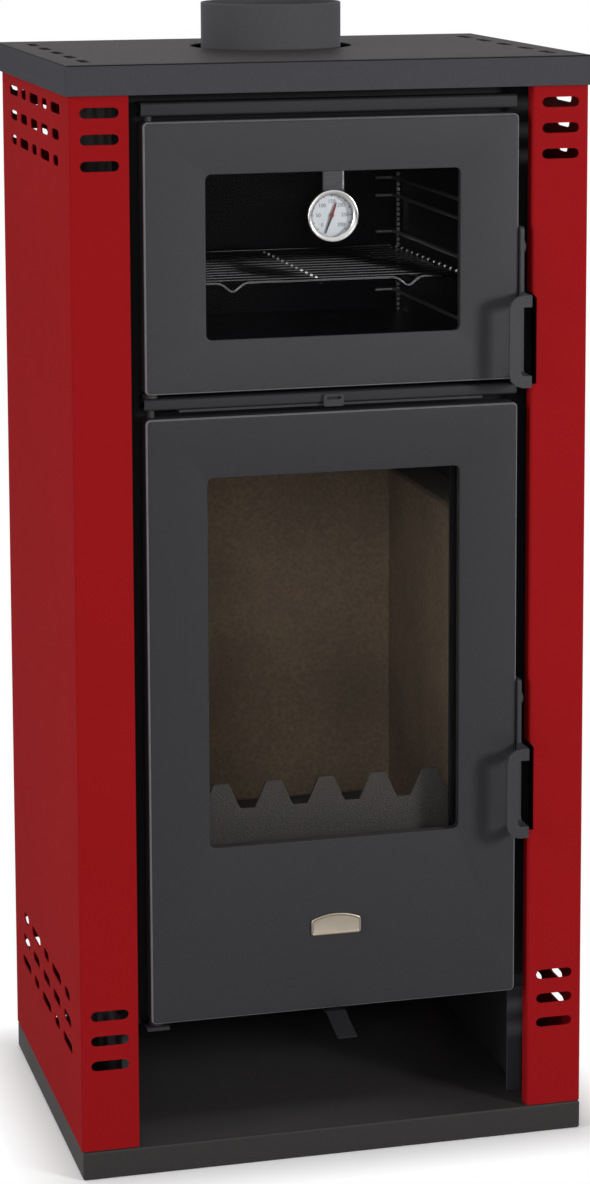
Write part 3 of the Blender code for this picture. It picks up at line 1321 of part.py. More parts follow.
def hinge_pins():
    """Four hinge pins: the lower of each door has a collar that the door rests on."""
    radius = HINGE_PIN_RADIUS
    deep = HINGE_PIN_ENGAGEMENT
    for name, foot, collar_low, door_low in (
        ("firebox_hinge_pin_bottom", LUG_LOW, LUG_LOW + FRAME_PLATE, FIRE_DOOR_LOW),
        ("oven_hinge_pin_bottom", MIDDLE_RAIL_HIGH - RAIL_SHEET, MIDDLE_RAIL_HIGH, OVEN_DOOR_LOW),
    ):
        profile = [
            (0.0, door_low + deep),
            (radius, door_low + deep),
            (radius, door_low - FIT_GAP),
            (HINGE_COLLAR_RADIUS, door_low - FIT_GAP),
            (HINGE_COLLAR_RADIUS, collar_low + FIT_GAP),
            (radius, collar_low + FIT_GAP),
            (radius, foot),
            (0.0, foot),
        ]
        pin(name, profile, INNER_STEEL, HINGE_X, HINGE_DEPTH, 0.0)
    for name, door_high, head in (
        ("firebox_hinge_pin_top", FIRE_DOOR_HIGH, MIDDLE_RAIL_LOW + 2 * RAIL_SHEET),
        ("oven_hinge_pin_top", OVEN_DOOR_HIGH, TOP_RAIL_LOW + 2 * RAIL_SHEET),
    ):
        profile = [(0.0, head), (radius, head), (radius, door_high - deep), (0.0, door_high - deep)]
        pin(name, profile, INNER_STEEL, HINGE_X, HINGE_DEPTH, 0.0)


def facing_front(depth, height):
    """Turns a turned piece's axis, which points up, towards the front at a depth and height."""
    return Matrix.Translation((DIAL_X, back(depth), height)) @ Matrix.Rotation(math.pi / 2, 4, "X")


def thermometer():
    """Bimetal dial thermometer that hangs on a strap in front of the oven glass."""
    strap_front = DOOR_SHEET + FIT_GAP
    strap_top = OVEN_WINDOW_HIGH + STRAP_TUCK
    strap_low = DIAL_HEIGHT + BEZEL_RADIUS - STRAP_OVERLAP
    half = STRAP_WIDTH / 2
    strap_outline = rectangle(DIAL_X - half, strap_low, DIAL_X + half, strap_top, STRAP_THICKNESS)
    strap = extrusion(
        "thermometer_strap", [strap_outline], "Y", strap_front, strap_front + STRAP_THICKNESS, BRIGHT_STEEL,
    )
    outer = BEZEL_RADIUS
    inner = outer - DIAL_CASE_WALL
    roll = BEZEL_LIP / 2
    lip_back = DIAL_CASE_LENGTH - BEZEL_LIP
    profile = []
    for step in range(BEZEL_STEPS + 1):
        angle = math.pi * (1 - step / BEZEL_STEPS)
        profile.append((outer - roll + roll * math.cos(angle), lip_back + roll + roll * math.sin(angle)))
    profile += [
        (outer, DIAL_CASE_WALL),
        (outer - DIAL_CASE_WALL, 0.0),
        (0.0, 0.0),
        (0.0, DIAL_CASE_WALL),
        (inner, DIAL_CASE_WALL),
        (inner, lip_back),
        (outer - BEZEL_LIP, lip_back),
    ]
    case = turned("thermometer_case", profile, BRIGHT_STEEL, facing_front(DIAL_BACK, DIAL_HEIGHT), 36)
    dial_radius = inner - FIT_GAP
    dial_low = DIAL_CASE_WALL + FIT_GAP
    dial_high = dial_low + DIAL_THICKNESS
    dial_profile = [
        (0.0, dial_high),
        (dial_radius, dial_high),
        (dial_radius, dial_low),
        (0.0, dial_low),
    ]
    dial = turned("thermometer_dial", dial_profile, DIAL_WHITE, facing_front(DIAL_BACK, DIAL_HEIGHT), 36)
    lens_high = lip_back - FIT_GAP
    lens_profile = [
        (0.0, lens_high),
        (dial_radius, lens_high - FIT_GAP),
        (dial_radius, lens_high - LENS_THICKNESS),
        (0.0, lens_high - LENS_THICKNESS),
    ]
    lens = turned("thermometer_lens", lens_profile, LENS, facing_front(DIAL_BACK, DIAL_HEIGHT), 36)
    needle = thermometer_needle(dial_high)
    return [strap, case, dial, lens], needle


def thermometer_needle(dial_high):
    """Pointer with a thin tail and a hub, resting at the angle that the oven's temperature gives it."""
    wide = NEEDLE_WIDTH / 2
    tip_wide = NEEDLE_TIP_WIDTH / 2
    shape = [
        (-wide, 0.0),
        (-tip_wide, NEEDLE_LENGTH - NEEDLE_TIP_LENGTH),
        (0.0, NEEDLE_LENGTH),
        (tip_wide, NEEDLE_LENGTH - NEEDLE_TIP_LENGTH),
        (wide, 0.0),
        (NEEDLE_TAIL_WIDTH / 2, -NEEDLE_TAIL),
        (-NEEDLE_TAIL_WIDTH / 2, -NEEDLE_TAIL),
    ]
    cosine, sine = math.cos(NEEDLE_ANGLE), math.sin(NEEDLE_ANGLE)
    outline = [(DIAL_X + u * cosine + v * sine, DIAL_HEIGHT - u * sine + v * cosine) for u, v in shape]
    face = DIAL_BACK - dial_high - FIT_GAP
    middle = face - NEEDLE_THICKNESS
    pointer = extrusion("thermometer_needle", [outline], "Y", middle - NEEDLE_THICKNESS, middle, NEEDLE_RED)
    hub_loop = circle(DIAL_X, DIAL_HEIGHT, NEEDLE_HUB_RADIUS, 12)
    hub = extrusion("needle_hub", [hub_loop], "Y", middle - 2 * NEEDLE_THICKNESS, face)
    return join(pointer, hub)


def badge():
    """Blank plate with an arched top and softened edges."""
    half = BADGE_WIDTH / 2
    shoulder = BADGE_LOW + BADGE_SHOULDER
    points = [(-half, BADGE_LOW), (half, BADGE_LOW), (half, shoulder)]
    for step in range(1, BADGE_ARCH_STEPS):
        u = half * (1 - 2 * step / BADGE_ARCH_STEPS)
        points.append((u, shoulder + BADGE_ARCH * (1 - (u / half) ** 2)))
    points.append((-half, shoulder))
    plate = extrusion("blank_badge", [points], "Y", -FIT_GAP - BADGE_THICKNESS, -FIT_GAP, NICKEL)
    return bevel(plate, BADGE_BEVEL, 1)


def oven_shelf():
    """Wire shelf: a rim with two dips at the front, wires across it and cross wires below them."""
    half, rim = SHELF_HALF_WIDTH, SHELF_RIM_RADIUS
    level = SHELF_LEVEL
    points = [(-half, SHELF_FRONT, level)]
    for side in (-1, 1):
        centre = side * DIP_CENTRE
        points += [
            (centre - DIP_HALF_WIDTH, SHELF_FRONT, level),
            (centre, SHELF_FRONT, level - DIP_DEPTH),
            (centre + DIP_HALF_WIDTH, SHELF_FRONT, level),
        ]
    points += [(half, SHELF_FRONT, level), (half, SHELF_BACK, level), (-half, SHELF_BACK, level)]
    shelf = wire("oven_shelf", points, rim, WIRE, closed=True, resolution=1)
    pitch = (SHELF_BACK - SHELF_FRONT) / (SHELF_WIRES + 1)
    for index in range(SHELF_WIRES):
        depth = SHELF_FRONT + pitch * (index + 1)
        ends = [(-half, depth, level), (half, depth, level)]
        join(shelf, wire("shelf_wire", ends, SHELF_WIRE_RADIUS, resolution=1))
    drop = SHELF_WIRE_RADIUS + CROSS_WIRE_RADIUS - CROSS_WIRE_SINK
    for index in range(CROSS_WIRES):
        x = (index - (CROSS_WIRES - 1) / 2) * CROSS_WIRE_PITCH
        ends = [(x, SHELF_FRONT, level - drop), (x, SHELF_BACK, level - drop)]
        join(shelf, wire("cross_wire", ends, CROSS_WIRE_RADIUS, resolution=1))
    return shelf


def rung_levels():
    """Heights of the rungs: a single low one and two pairs."""
    levels = [OVEN_FLOOR + LOW_RUNG]
    for lower in (SHELF_RUNG, SHELF_RUNG + PAIR_RISE):
        levels += [lower, lower + PAIR_GAP]
    return levels


def oven_rack(name, side):
    """Wire ladder on an oven side wall, whose rungs hold the shelf at its levels."""
    x = side * RACK_HALF_SPAN
    inner = side * RUNG_HALF_SPAN
    floor = OVEN_FLOOR + FIT_GAP
    top = OVEN_FLOOR + RACK_HEIGHT
    front_post = [(x, RACK_FRONT, floor), (x, RACK_FRONT, top)]
    rack = wire(name, front_post, RACK_POST_RADIUS, WIRE, resolution=1)
    rear_post = [(x, RACK_BACK, floor), (x, RACK_BACK, top)]
    join(rack, wire("rack_post", rear_post, RACK_POST_RADIUS, resolution=1))
    for level in rung_levels():
        ends = [(inner, RACK_FRONT - RACK_OVERHANG, level), (inner, RACK_BACK + RACK_OVERHANG, level)]
        join(rack, wire("rack_rung", ends, RACK_RUNG_RADIUS, resolution=1))
    return rack


def build():
    """Build the fixed pieces, then the doors with their joints."""
    base_plate()
    side_casing("side_casing_left", -1)
    side_casing("side_casing_right", 1)
    rear_shield()
    top_plate()
    flue_collar()
    body_shell()
    front_frame()
    oven_box()
    fire_bed()
    grate()
    log_guard(firebricks() - FIT_GAP)
    ash_pan()
    legs()
    air_guide("primary_air_guide_front", FRONT_GUIDE_DEPTH, TONGUE_WIDTH / 2)
    air_guide("primary_air_guide_rear", REAR_GUIDE_DEPTH, DAMPER_HALF_WIDTH)
    primary_air_slide()
    secondary_air_slide()
    hinge_pins()
    oven_shelf()
    oven_rack("oven_rack_left", -1)
    oven_rack("oven_rack_right", 1)

    oven_door = door("oven_door", OVEN_DOOR_LOW, OVEN_DOOR_HIGH, OVEN_WINDOW_LOW, OVEN_WINDOW_HIGH)
    gasket = oven_door[1]
    notch = STRAP_WIDTH / 2 + FIT_GAP * 2
    cut(gasket, block(
        "strap_notch",
        (DIAL_X - notch, 0.0, OVEN_WINDOW_HIGH),
        (DIAL_X + notch, DOOR_SHEET + 3 * FIT_GAP + STRAP_THICKNESS, OVEN_WINDOW_HIGH + 2 * STRAP_TUCK),
    ))
    fixed, needle = thermometer()
    oven_door += fixed + [latch_pivot("oven_latch_pivot", OVEN_HANDLE_LOW)]
    oven_axis = joint_empty("oven_door_axis", (HINGE_X, back(HINGE_DEPTH), OVEN_DOOR_LOW))
    carry(oven_axis, *oven_door)
    dial_axis = joint_empty("needle_axis", (DIAL_X, back(DIAL_BACK), DIAL_HEIGHT))
    carry(dial_axis, needle)
    latch_place = (STRIP_LEFT, back(LATCH_PIVOT_DEPTH), latch_pivot_height(OVEN_HANDLE_LOW))
    oven_latch = joint_empty("oven_latch_axis", latch_place)
    carry(oven_latch, handle("oven_door_handle", OVEN_HANDLE_LOW))
    carry(oven_axis, dial_axis, oven_latch)

    firebox_door = door("firebox_door", FIRE_DOOR_LOW, FIRE_DOOR_HIGH, FIRE_WINDOW_LOW, FIRE_WINDOW_HIGH)
    firebox_door += [badge(), latch_pivot("firebox_latch_pivot", FIRE_HANDLE_LOW)]
    fire_axis = joint_empty("firebox_door_axis", (HINGE_X, back(HINGE_DEPTH), FIRE_DOOR_LOW))
    carry(fire_axis, *firebox_door)
    latch_place = (STRIP_LEFT, back(LATCH_PIVOT_DEPTH), latch_pivot_height(FIRE_HANDLE_LOW))
    fire_latch = joint_empty("firebox_latch_axis", latch_place)
    carry(fire_latch, handle("firebox_door_handle", FIRE_HANDLE_LOW))
    carry(fire_axis, fire_latch)


build()
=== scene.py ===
# %% [markdown]
# # A wood stove with a baking oven
#
# The stove is a welded black body between two red sheet casings. The measured solids come in as a fixed frame,
# and this file dresses them: soft edges on folded sheet, a turned flue collar, pressed doors, wires, a
# thermometer and the finishes. Every length is in metres, with X to the viewer's right, Y towards the back and
# Z up.

import json
import math

import bmesh
import bpy
import numpy as np
from mathutils import Matrix, Vector

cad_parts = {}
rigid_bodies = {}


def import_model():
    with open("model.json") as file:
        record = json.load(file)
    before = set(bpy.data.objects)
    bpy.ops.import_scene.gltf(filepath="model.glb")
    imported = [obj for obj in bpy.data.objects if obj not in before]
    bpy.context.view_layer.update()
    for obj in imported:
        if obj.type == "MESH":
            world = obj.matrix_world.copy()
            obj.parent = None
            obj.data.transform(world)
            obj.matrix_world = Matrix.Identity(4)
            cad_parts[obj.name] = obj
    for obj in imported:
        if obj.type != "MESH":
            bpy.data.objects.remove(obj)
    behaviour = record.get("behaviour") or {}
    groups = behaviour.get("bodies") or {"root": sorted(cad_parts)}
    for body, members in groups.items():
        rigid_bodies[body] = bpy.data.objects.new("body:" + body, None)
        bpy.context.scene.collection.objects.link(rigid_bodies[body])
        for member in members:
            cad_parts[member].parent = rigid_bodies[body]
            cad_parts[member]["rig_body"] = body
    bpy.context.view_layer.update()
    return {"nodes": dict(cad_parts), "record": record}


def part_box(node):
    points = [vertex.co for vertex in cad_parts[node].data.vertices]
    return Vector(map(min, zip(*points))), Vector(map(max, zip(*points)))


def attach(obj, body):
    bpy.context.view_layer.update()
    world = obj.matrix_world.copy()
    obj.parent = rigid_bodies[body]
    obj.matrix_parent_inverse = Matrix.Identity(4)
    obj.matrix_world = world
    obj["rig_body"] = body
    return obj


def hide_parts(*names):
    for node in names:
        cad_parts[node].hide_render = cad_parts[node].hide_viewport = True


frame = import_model()
BODY = {node: piece["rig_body"] for node, piece in frame["nodes"].items()}
SLOT = {entry["node"]: entry["material_slot"] for entry in frame["record"]["subparts"]}

# %% [markdown]
# ## Sums on sockets
#
# A finish such as enamel is a few numbers that change a little from place to place. Wiring Math nodes by hand
# hides the formula, so a small class wraps a socket and gives it the usual operators: each one adds a Math node
# and returns its result. The reflected forms let a plain number stand on the left.

# %% A socket with operators
class Value:
    """A socket that takes part in sums."""

    def __init__(self, owner, socket):
        self.owner = owner
        self.socket = socket

    def math(self, operation, *others):
        inputs = dict(enumerate((self,) + others))
        return self.owner.add("ShaderNodeMath", {"operation": operation}, inputs)

    def reflected(self, operation, other):
        return self.owner.add("ShaderNodeMath", {"operation": operation}, {0: other, 1: self})

    def __add__(self, other):
        return self.math("ADD", other)

    def __sub__(self, other):
        return self.math("SUBTRACT", other)

    def __mul__(self, other):
        return self.math("MULTIPLY", other)

    def __truediv__(self, other):
        return self.math("DIVIDE", other)

    def __gt__(self, other):
        return self.math("GREATER_THAN", other)

    def __lt__(self, other):
        return self.math("LESS_THAN", other)

    def __radd__(self, other):
        return self.reflected("ADD", other)

    def __rsub__(self, other):
        return self.reflected("SUBTRACT", other)

    def __rmul__(self, other):
        return self.reflected("MULTIPLY", other)

    def __rtruediv__(self, other):
        return self.reflected("DIVIDE", other)


# %% [markdown]
# ## One method for every node
#
# A tree of nodes grows through one method, which takes the new node's type, its settings and what goes into its
# sockets. A finish is such a tree with a material around it. Colours go through a Mix node, because a Math node
# would turn them grey.

# %% Nodes and finishes
class Nodes:
    """A tree of shader nodes."""

    def __init__(self, tree):
        self.tree = tree

    def feed(self, socket, value):
        if isinstance(value, Value):
            self.tree.links.new(value.socket, socket)
        else:
            socket.default_value = value

    def add(self, kind, settings=None, inputs=None, output=0):
        """One output of a new node, whose settings are made before its sockets are fed."""
        node = self.tree.nodes.new(kind)
        for name, setting in (settings or {}).items():
            setattr(node, name, setting)
        for name, value in (inputs or {}).items():
            self.feed(node.inputs[name], value)
        return Value(self, node.outputs[output])


class Finish(Nodes):
    """A material in the making."""

    def __init__(self, name, colour, roughness, **constants):
        self.material = bpy.data.materials.new(name)
        self.material.use_nodes = True
        super().__init__(self.material.node_tree)
        self.surface = self.tree.nodes["Principled BSDF"]
        self.set("Base Color", (*colour, 1.0))
        self.set("Roughness", roughness)
        for socket, number in constants.items():
            self.set(socket.replace("_", " "), number)
        self.place = self.add("ShaderNodeTexCoord", output="Object")

    def set(self, name, value):
        self.feed(self.surface.inputs[name], value)

    def axis(self, number):
        """One of the Object coordinates: 0 is across, 1 is deep and 2 is up."""
        return self.add("ShaderNodeSeparateXYZ", None, {0: self.place}, number)

    def noise(self, scale, detail=2.0, place=None):
        """Cloudy value about a half, with a blob every 1 / scale metres."""
        inputs = {"Vector": place or self.place, "Scale": scale, "Detail": detail}
        return self.add("ShaderNodeTexNoise", None, inputs)

    def mix(self, factor, first, second):
        """The first colour where the factor is 0 and the second where it is 1."""
        colours = [value if isinstance(value, Value) else (*value, 1.0) for value in (first, second)]
        return self.add("ShaderNodeMix", {"data_type": "RGBA"}, {0: factor, 6: colours[0], 7: colours[1]}, 2)

    def bump(self, height, depth, strength=1.0):
        """Light and shade of a relief whose height of 1 is so many metres deep."""
        inputs = {"Height": height, "Distance": depth, "Strength": strength}
        self.set("Normal", self.add("ShaderNodeBump", None, inputs))


def shade(colour, factor):
    """The colour made lighter or darker by a factor."""
    return tuple(channel * factor for channel in colour)


FINISH = {}
print("sockets take the signs + - * / < >")

# %% [markdown]
# ## Red casing enamel
#
# The casings are stove enamelled in a deep signal red. It is satin, not mirror bright: the coat has a fine
# orange peel that breaks up reflections, and the colour is even to within a few percent. Two noises do it, a
# broad one for the colour and a fine one for the relief.

# %% Red enamel
RED_COLOUR = (0.262, 0.0070, 0.0088)
red = Finish("red_casing_enamel", RED_COLOUR, 0.60, Specular_IOR_Level=0.012)
drift = red.noise(5.0)
red.set("Base Color", red.mix(drift, shade(RED_COLOUR, 0.95), shade(RED_COLOUR, 1.05)))
red.set("Roughness", red.noise(35.0) * 0.08 + 0.56)
red.bump(red.noise(700.0), 0.00003)
FINISH["casing_red"] = red.material
print("red enamel:", len(red.tree.nodes), "nodes")

# %% [markdown]
# ## Heat-proof charcoal paint
#
# Doors, top plate, frame, legs and levers are sprayed with a dry, heat-proof paint. Up close it is slightly
# sandy, a few tenths of a millimetre, and a little greyer where the grains catch the light. The grain needs both
# a colour change and a relief, so one noise feeds the two. The coats differ a little in tone and gloss from piece
# to piece, as they do on a stove whose pieces were sprayed apart; the firebox door's darker tone, though, is
# painted shade for the light that falls off towards the bottom.

# %% Charcoal paint
PAINT_COLOUR = (0.037, 0.036, 0.040)
GRAIN_SCALE = 1100.0
GRAIN_DETAIL = 3.0


def speckled(paint, grain, colour):
    """The colour, darker between the grains and lighter on them."""
    return paint.mix(grain, shade(colour, 0.72), shade(colour, 1.28))


def sandy_paint(name, colour, roughness=0.50, gloss=0.15):
    """Dry paint: a fine noise lifts the colour and the surface alike, a broad one shifts the sheen."""
    paint = Finish(name, colour, roughness, Specular_IOR_Level=gloss)
    grain = paint.noise(GRAIN_SCALE, GRAIN_DETAIL)
    paint.set("Base Color", speckled(paint, grain, colour))
    paint.set("Roughness", paint.noise(14.0) * 0.10 + (roughness - 0.05))
    paint.bump(grain, 0.00010, 0.8)
    return paint


FINISH["stove_paint"] = sandy_paint("charcoal_stove_paint", PAINT_COLOUR).material
COAT = {
    "base_plate": sandy_paint("base_plate_paint", (0.030, 0.027, 0.027), 0.50, 0.18).material,
    "flue_collar": sandy_paint("flue_collar_paint", (0.070, 0.068, 0.074), 0.60, 0.05).material,
    "oven_door_handle": sandy_paint("oven_handle_paint", (0.045, 0.044, 0.048)).material,
    "rear_shield": sandy_paint("rear_shield_paint", (0.024, 0.023, 0.026)).material,
    "primary_air_slide": sandy_paint("air_slide_paint", (0.013, 0.012, 0.014)).material,
}
print("charcoal paint:", round(GRAIN_SCALE), "grains to the metre,", len(COAT), "coats for single pieces")

# %% [markdown]
# A thin line along each door's outer bend is painted lighter than the face: a painted highlight of the bend.
# The line lies a millimetre or two behind the face and only near the door's outer sides, not at the window.

# %% Door paint
BEND_HIGHLIGHT_COLOUR = (0.17, 0.17, 0.18)
BEND_HIGHLIGHT_MARGIN = 0.006
BEND_HIGHLIGHT_FROM = 0.0006
BEND_HIGHLIGHT_TO = 0.0024


def door_paint(node, colour):
    """Sandy paint with a painted highlight along the outer bend."""
    paint = sandy_paint(node + "_paint", colour)
    low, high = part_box(node)
    x, y, z = [paint.axis(number) for number in range(3)]
    outer = x.math("ABSOLUTE") > (high.x - BEND_HIGHLIGHT_MARGIN)
    outer = outer.math("MAXIMUM", z > (high.z - BEND_HIGHLIGHT_MARGIN)).math("MAXIMUM", z < (low.z + BEND_HIGHLIGHT_MARGIN))
    bend = (y > (low.y + BEND_HIGHLIGHT_FROM)) * (y < (low.y + BEND_HIGHLIGHT_TO)) * outer
    face = speckled(paint, paint.noise(GRAIN_SCALE, GRAIN_DETAIL), colour)
    highlight_streak = paint.noise(60.0) * 0.5 + 0.5
    # The lighter line along the bend is a painted highlight.
    paint.set("Base Color", paint.mix(bend * highlight_streak, face, BEND_HIGHLIGHT_COLOUR))
    return paint.material


COAT["oven_door_panel"] = door_paint("oven_door_panel", PAINT_COLOUR)
# The firebox door is painted darker than the oven door: painted shade for the lower door's weaker light.
COAT["firebox_door_panel"] = door_paint("firebox_door_panel", (0.028, 0.027, 0.031))
print("door paint: a lighter line along each bend")

# %% [markdown]
# The top plate is folded down into a rim. The plate's face is bordered by a thin dark line along the fold, a
# painted shade of the bend. The height and the distance from the plate's sides tell where that line is. The face
# is painted darker than the rim, a painted shade for a face that is lit less than the front; it is also wiped more
# often than the rim and is smoother, so from low down it shows the room and the collar's foot.

# %% Top plate paint
SHADED_FACE_COLOUR = (0.030, 0.026, 0.027)
RIM_COLOUR = (0.053, 0.052, 0.059)
FOLD_SHADE_COLOUR = (0.008, 0.008, 0.008)
FACE_SKIN = 0.0007
FOLD_SKIN = 0.0011
FOLD_FRONT = 0.0030
FOLD_SIDE = 0.0022
top_paint = sandy_paint("top_plate_paint", SHADED_FACE_COLOUR, 0.60, 0.02)
low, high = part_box("top_plate")
x, y, z = [top_paint.axis(number) for number in range(3)]
fleck = top_paint.noise(GRAIN_SCALE, GRAIN_DETAIL)
on_face = z > (high.z - FACE_SKIN)
top_paint.set("Roughness", on_face * -0.30 + 0.80)
# The face is painted darker than the rim: painted shade.
coat = top_paint.mix(on_face, speckled(top_paint, fleck, RIM_COLOUR), speckled(top_paint, fleck, SHADED_FACE_COLOUR))
near_front = y < (low.y + FOLD_FRONT)
near_side = x.math("ABSOLUTE") > (high.x - FOLD_SIDE)
fold = near_front.math("MAXIMUM", near_side) * (z > (high.z - FOLD_SKIN))
# The dark line along the fold is painted shade.
top_paint.set("Base Color", top_paint.mix(fold, coat, FOLD_SHADE_COLOUR))
COAT["top_plate"] = top_paint.material
print("top plate: face, rim and the line of the fold")

# %% [markdown]
# The front frame is one welded part, but its rails stand just behind the door faces in the full light, while the
# plate behind them never sees it and is painted near black as painted shade of the deep gaps. The depth of a point
# decides between the two colours.

# %% Frame paint
RAIL_COLOUR = (0.027, 0.026, 0.030)
PAINTED_SHADE_COLOUR = (0.005, 0.005, 0.006)
RAIL_DEPTH = 0.012
frame_paint = sandy_paint("front_frame_paint", RAIL_COLOUR, 0.55, 0.12)
in_painted_shade = frame_paint.axis(1) > (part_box("front_frame")[0].y + RAIL_DEPTH)
soot = frame_paint.noise(GRAIN_SCALE, GRAIN_DETAIL) * 0.5 + 0.75
grey = frame_paint.mix(soot, shade(RAIL_COLOUR, 0.5), RAIL_COLOUR)
# The plate behind the rails is painted near black: painted shade.
frame_paint.set("Base Color", frame_paint.mix(in_painted_shade, grey, PAINTED_SHADE_COLOUR))
COAT["front_frame"] = frame_paint.material
print("frame plate in a darker tone than its rails")

# %% [markdown]
# ## Firebox steel and cast iron
#
# The sheets behind the doors stay raw or get one thin coat, and heat and smoke turn them dull and blotchy, with
# a warm cast. The grate and the log guard are cast, so their skin is coarser. Both are the same recipe at two
# scales.

# %% Scorched metals
def scorched(name, colour, warm, blotch, grain, depth):
    """Dull metal: blotches between a cold and a warm tone, and a grain for its skin."""
    metal = Finish(name, colour, 0.7, Metallic=0.35, Specular_IOR_Level=0.4)
    cloud = metal.noise(blotch, 4.0)
    metal.set("Base Color", metal.mix(cloud, colour, warm))
    metal.set("Roughness", cloud * 0.25 + 0.55)
    metal.bump(metal.noise(grain, 3.0), depth)
    return metal.material


SHEET_TONES = (0.030, 0.029, 0.029), (0.050, 0.043, 0.038)
IRON_TONES = (0.035, 0.034, 0.034), (0.060, 0.050, 0.043)
FINISH["firebox_steel"] = scorched("scorched_sheet", *SHEET_TONES, 11.0, 600.0, 0.00008)
FINISH["cast_iron"] = scorched("grey_cast_iron", *IRON_TONES, 26.0, 420.0, 0.00035)
print("scorched metals: 2")

# %% [markdown]
# ## Black oven enamel
#
# The oven is lined in black enamel with a soft gloss, so it shows the wires again as faint streaks. A moderate
# roughness with slight waviness is enough, because the gloss comes from the shader and the light.

# %% Oven enamel
oven_black = Finish("black_oven_enamel", (0.0075, 0.0070, 0.0105), 0.30, Specular_IOR_Level=0.22)
oven_black.set("Roughness", oven_black.noise(18.0) * 0.10 + 0.25)
oven_black.bump(oven_black.noise(60.0), 0.00012)
FINISH["oven_enamel"] = oven_black.material
print("oven enamel ready")

# %% [markdown]
# ## Glass
#
# The panes are clear glass ceramic with a faint smoke-brown tint, and the thermometer has a small clear lens.
# Light that has to bend through a pane would reach the oven as noise, so the pane is mostly see-through by its
# alpha and keeps only its gloss.

# %% Panes and lens
def pane(name, colour, alpha):
    """Glass: a smooth glossy skin that lets most of what is behind it through."""
    glass = Finish(name, colour, 0.03, Alpha=alpha, Specular_IOR_Level=0.45)
    film = glass.noise(9.0)
    glass.set("Alpha", film * (alpha * 0.35) + alpha * 0.82)
    return glass.material


FINISH["ceramic_glass"] = pane("glass_ceramic", (0.004, 0.004, 0.005), 0.07)
FINISH["lens_glass"] = pane("clear_lens", (0.50, 0.52, 0.52), 0.04)
print("panes: 2 tints")

# %% [markdown]
# ## Rope, brick and zinc
#
# The door seals are knitted glass-fibre rope, drawn with two families of slanting ribs along the rope's own UV
# map. The bricks are pressed mineral board with coarse flakes. Pins, pan and runners are bright zinc, whose
# crystals show as pale patches.

# %% Knitted rope
ROPE_COLOUR = (0.15, 0.145, 0.135)
RIBS_TO_METRE = 420.0
RIBS_ROUND = 3.0
rope = Finish("glass_fibre_rope", ROPE_COLOUR, 0.95)
thread = rope.add("ShaderNodeUVMap", {"uv_map": "UVMap"})
across = rope.add("ShaderNodeSeparateXYZ", None, {0: thread}, 0)
along = rope.add("ShaderNodeSeparateXYZ", None, {0: thread}, 1)
rib_one = ((along * RIBS_TO_METRE + across * RIBS_ROUND) * (2 * math.pi)).math("SINE")
rib_two = ((along * RIBS_TO_METRE - across * RIBS_ROUND) * (2 * math.pi)).math("SINE")
knit = rib_one * rib_two * 0.5 + 0.5
rope.set("Base Color", rope.mix(knit, shade(ROPE_COLOUR, 0.55), shade(ROPE_COLOUR, 1.2)))
rope.bump(knit, 0.0005)
FINISH["rope"] = rope.material
print("rope: ribs every", round(1000 / RIBS_TO_METRE, 1), "mm")

# %% Brick and zinc
BRICK_COLOUR = (0.45, 0.32, 0.20)
brick = Finish("pressed_mineral_board", BRICK_COLOUR, 0.95)
flake = brick.add("ShaderNodeTexVoronoi", None, {"Vector": brick.place, "Scale": 260.0})
soot = brick.noise(9.0, 4.0)
board = brick.mix(flake, shade(BRICK_COLOUR, 0.7), shade(BRICK_COLOUR, 1.15))
brick.set("Base Color", brick.mix(soot * 0.9, board, (0.10, 0.085, 0.07)))
brick.bump(flake, 0.0006)
FINISH["firebrick"] = brick.material

ZINC_COLOUR = (0.52, 0.53, 0.53)
zinc = Finish("bright_zinc", ZINC_COLOUR, 0.35, Metallic=1.0)
crystal = zinc.add("ShaderNodeTexVoronoi", None, {"Vector": zinc.place, "Scale": 110.0}, "Color")
crystal = zinc.add("ShaderNodeSeparateColor", None, {0: crystal})
zinc.set("Base Color", zinc.mix(crystal, shade(ZINC_COLOUR, 0.8), shade(ZINC_COLOUR, 1.12)))
zinc.set("Roughness", crystal * 0.15 + 0.28)
FINISH["zinc"] = zinc.material
print("brick and zinc ready")

# %% [markdown]
# ## Chrome, polished steel and old nickel
#
# The shelf and its racks are bright wire, the thermometer case is polished and the badge has a dull warm
# nickel. The shelf's wire takes a dark colour, a painted reflection of the dark oven around it, while the racks
# and the welds keep a bright one. All are metals whose gloss is broken by fine lines from drawing or buffing, so
# a noise stretched along one axis varies the roughness.

# %% Bright metals
def bright(name, colour, roughness, lines):
    """Metal whose roughness is streaked by a noise that is stretched along an axis."""
    metal = Finish(name, colour, roughness, Metallic=1.0)
    stretched = metal.add("ShaderNodeMapping", None, {"Vector": metal.place, "Scale": lines})
    streak = metal.noise(1.0, 3.0, stretched)
    metal.set("Roughness", streak * (roughness * 0.8) + roughness * 0.6)
    metal.set("Base Color", metal.mix(streak, shade(colour, 0.86), shade(colour, 1.08)))
    return metal


# The shelf's chrome is painted dark: a painted reflection of the dark oven.
FINISH["chromed_wire"] = bright("chromed_wire", (0.15, 0.15, 0.155), 0.14, (90.0, 90.0, 90.0)).material
FINISH["polished_steel"] = bright("polished_steel", (0.62, 0.61, 0.60), 0.22, (60.0, 900.0, 60.0)).material
FINISH["badge_nickel"] = bright("dull_nickel", (0.50, 0.44, 0.34), 0.34, (40.0, 40.0, 700.0)).material
NEEDLE_RED = (0.16, 0.004, 0.008)
TAIL_RED = (0.030, 0.008, 0.010)
needle_paint = Finish("needle_red", NEEDLE_RED, 0.5, Specular_IOR_Level=0.2)
needle_low, needle_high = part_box("thermometer_needle")
tail = needle_paint.axis(2) < (needle_low.z + 0.5 * (needle_high.z - needle_low.z))
needle_paint.set("Base Color", needle_paint.mix(tail, NEEDLE_RED, TAIL_RED))
needle_paint.set("Roughness", needle_paint.noise(300.0) * 0.1 + 0.45)
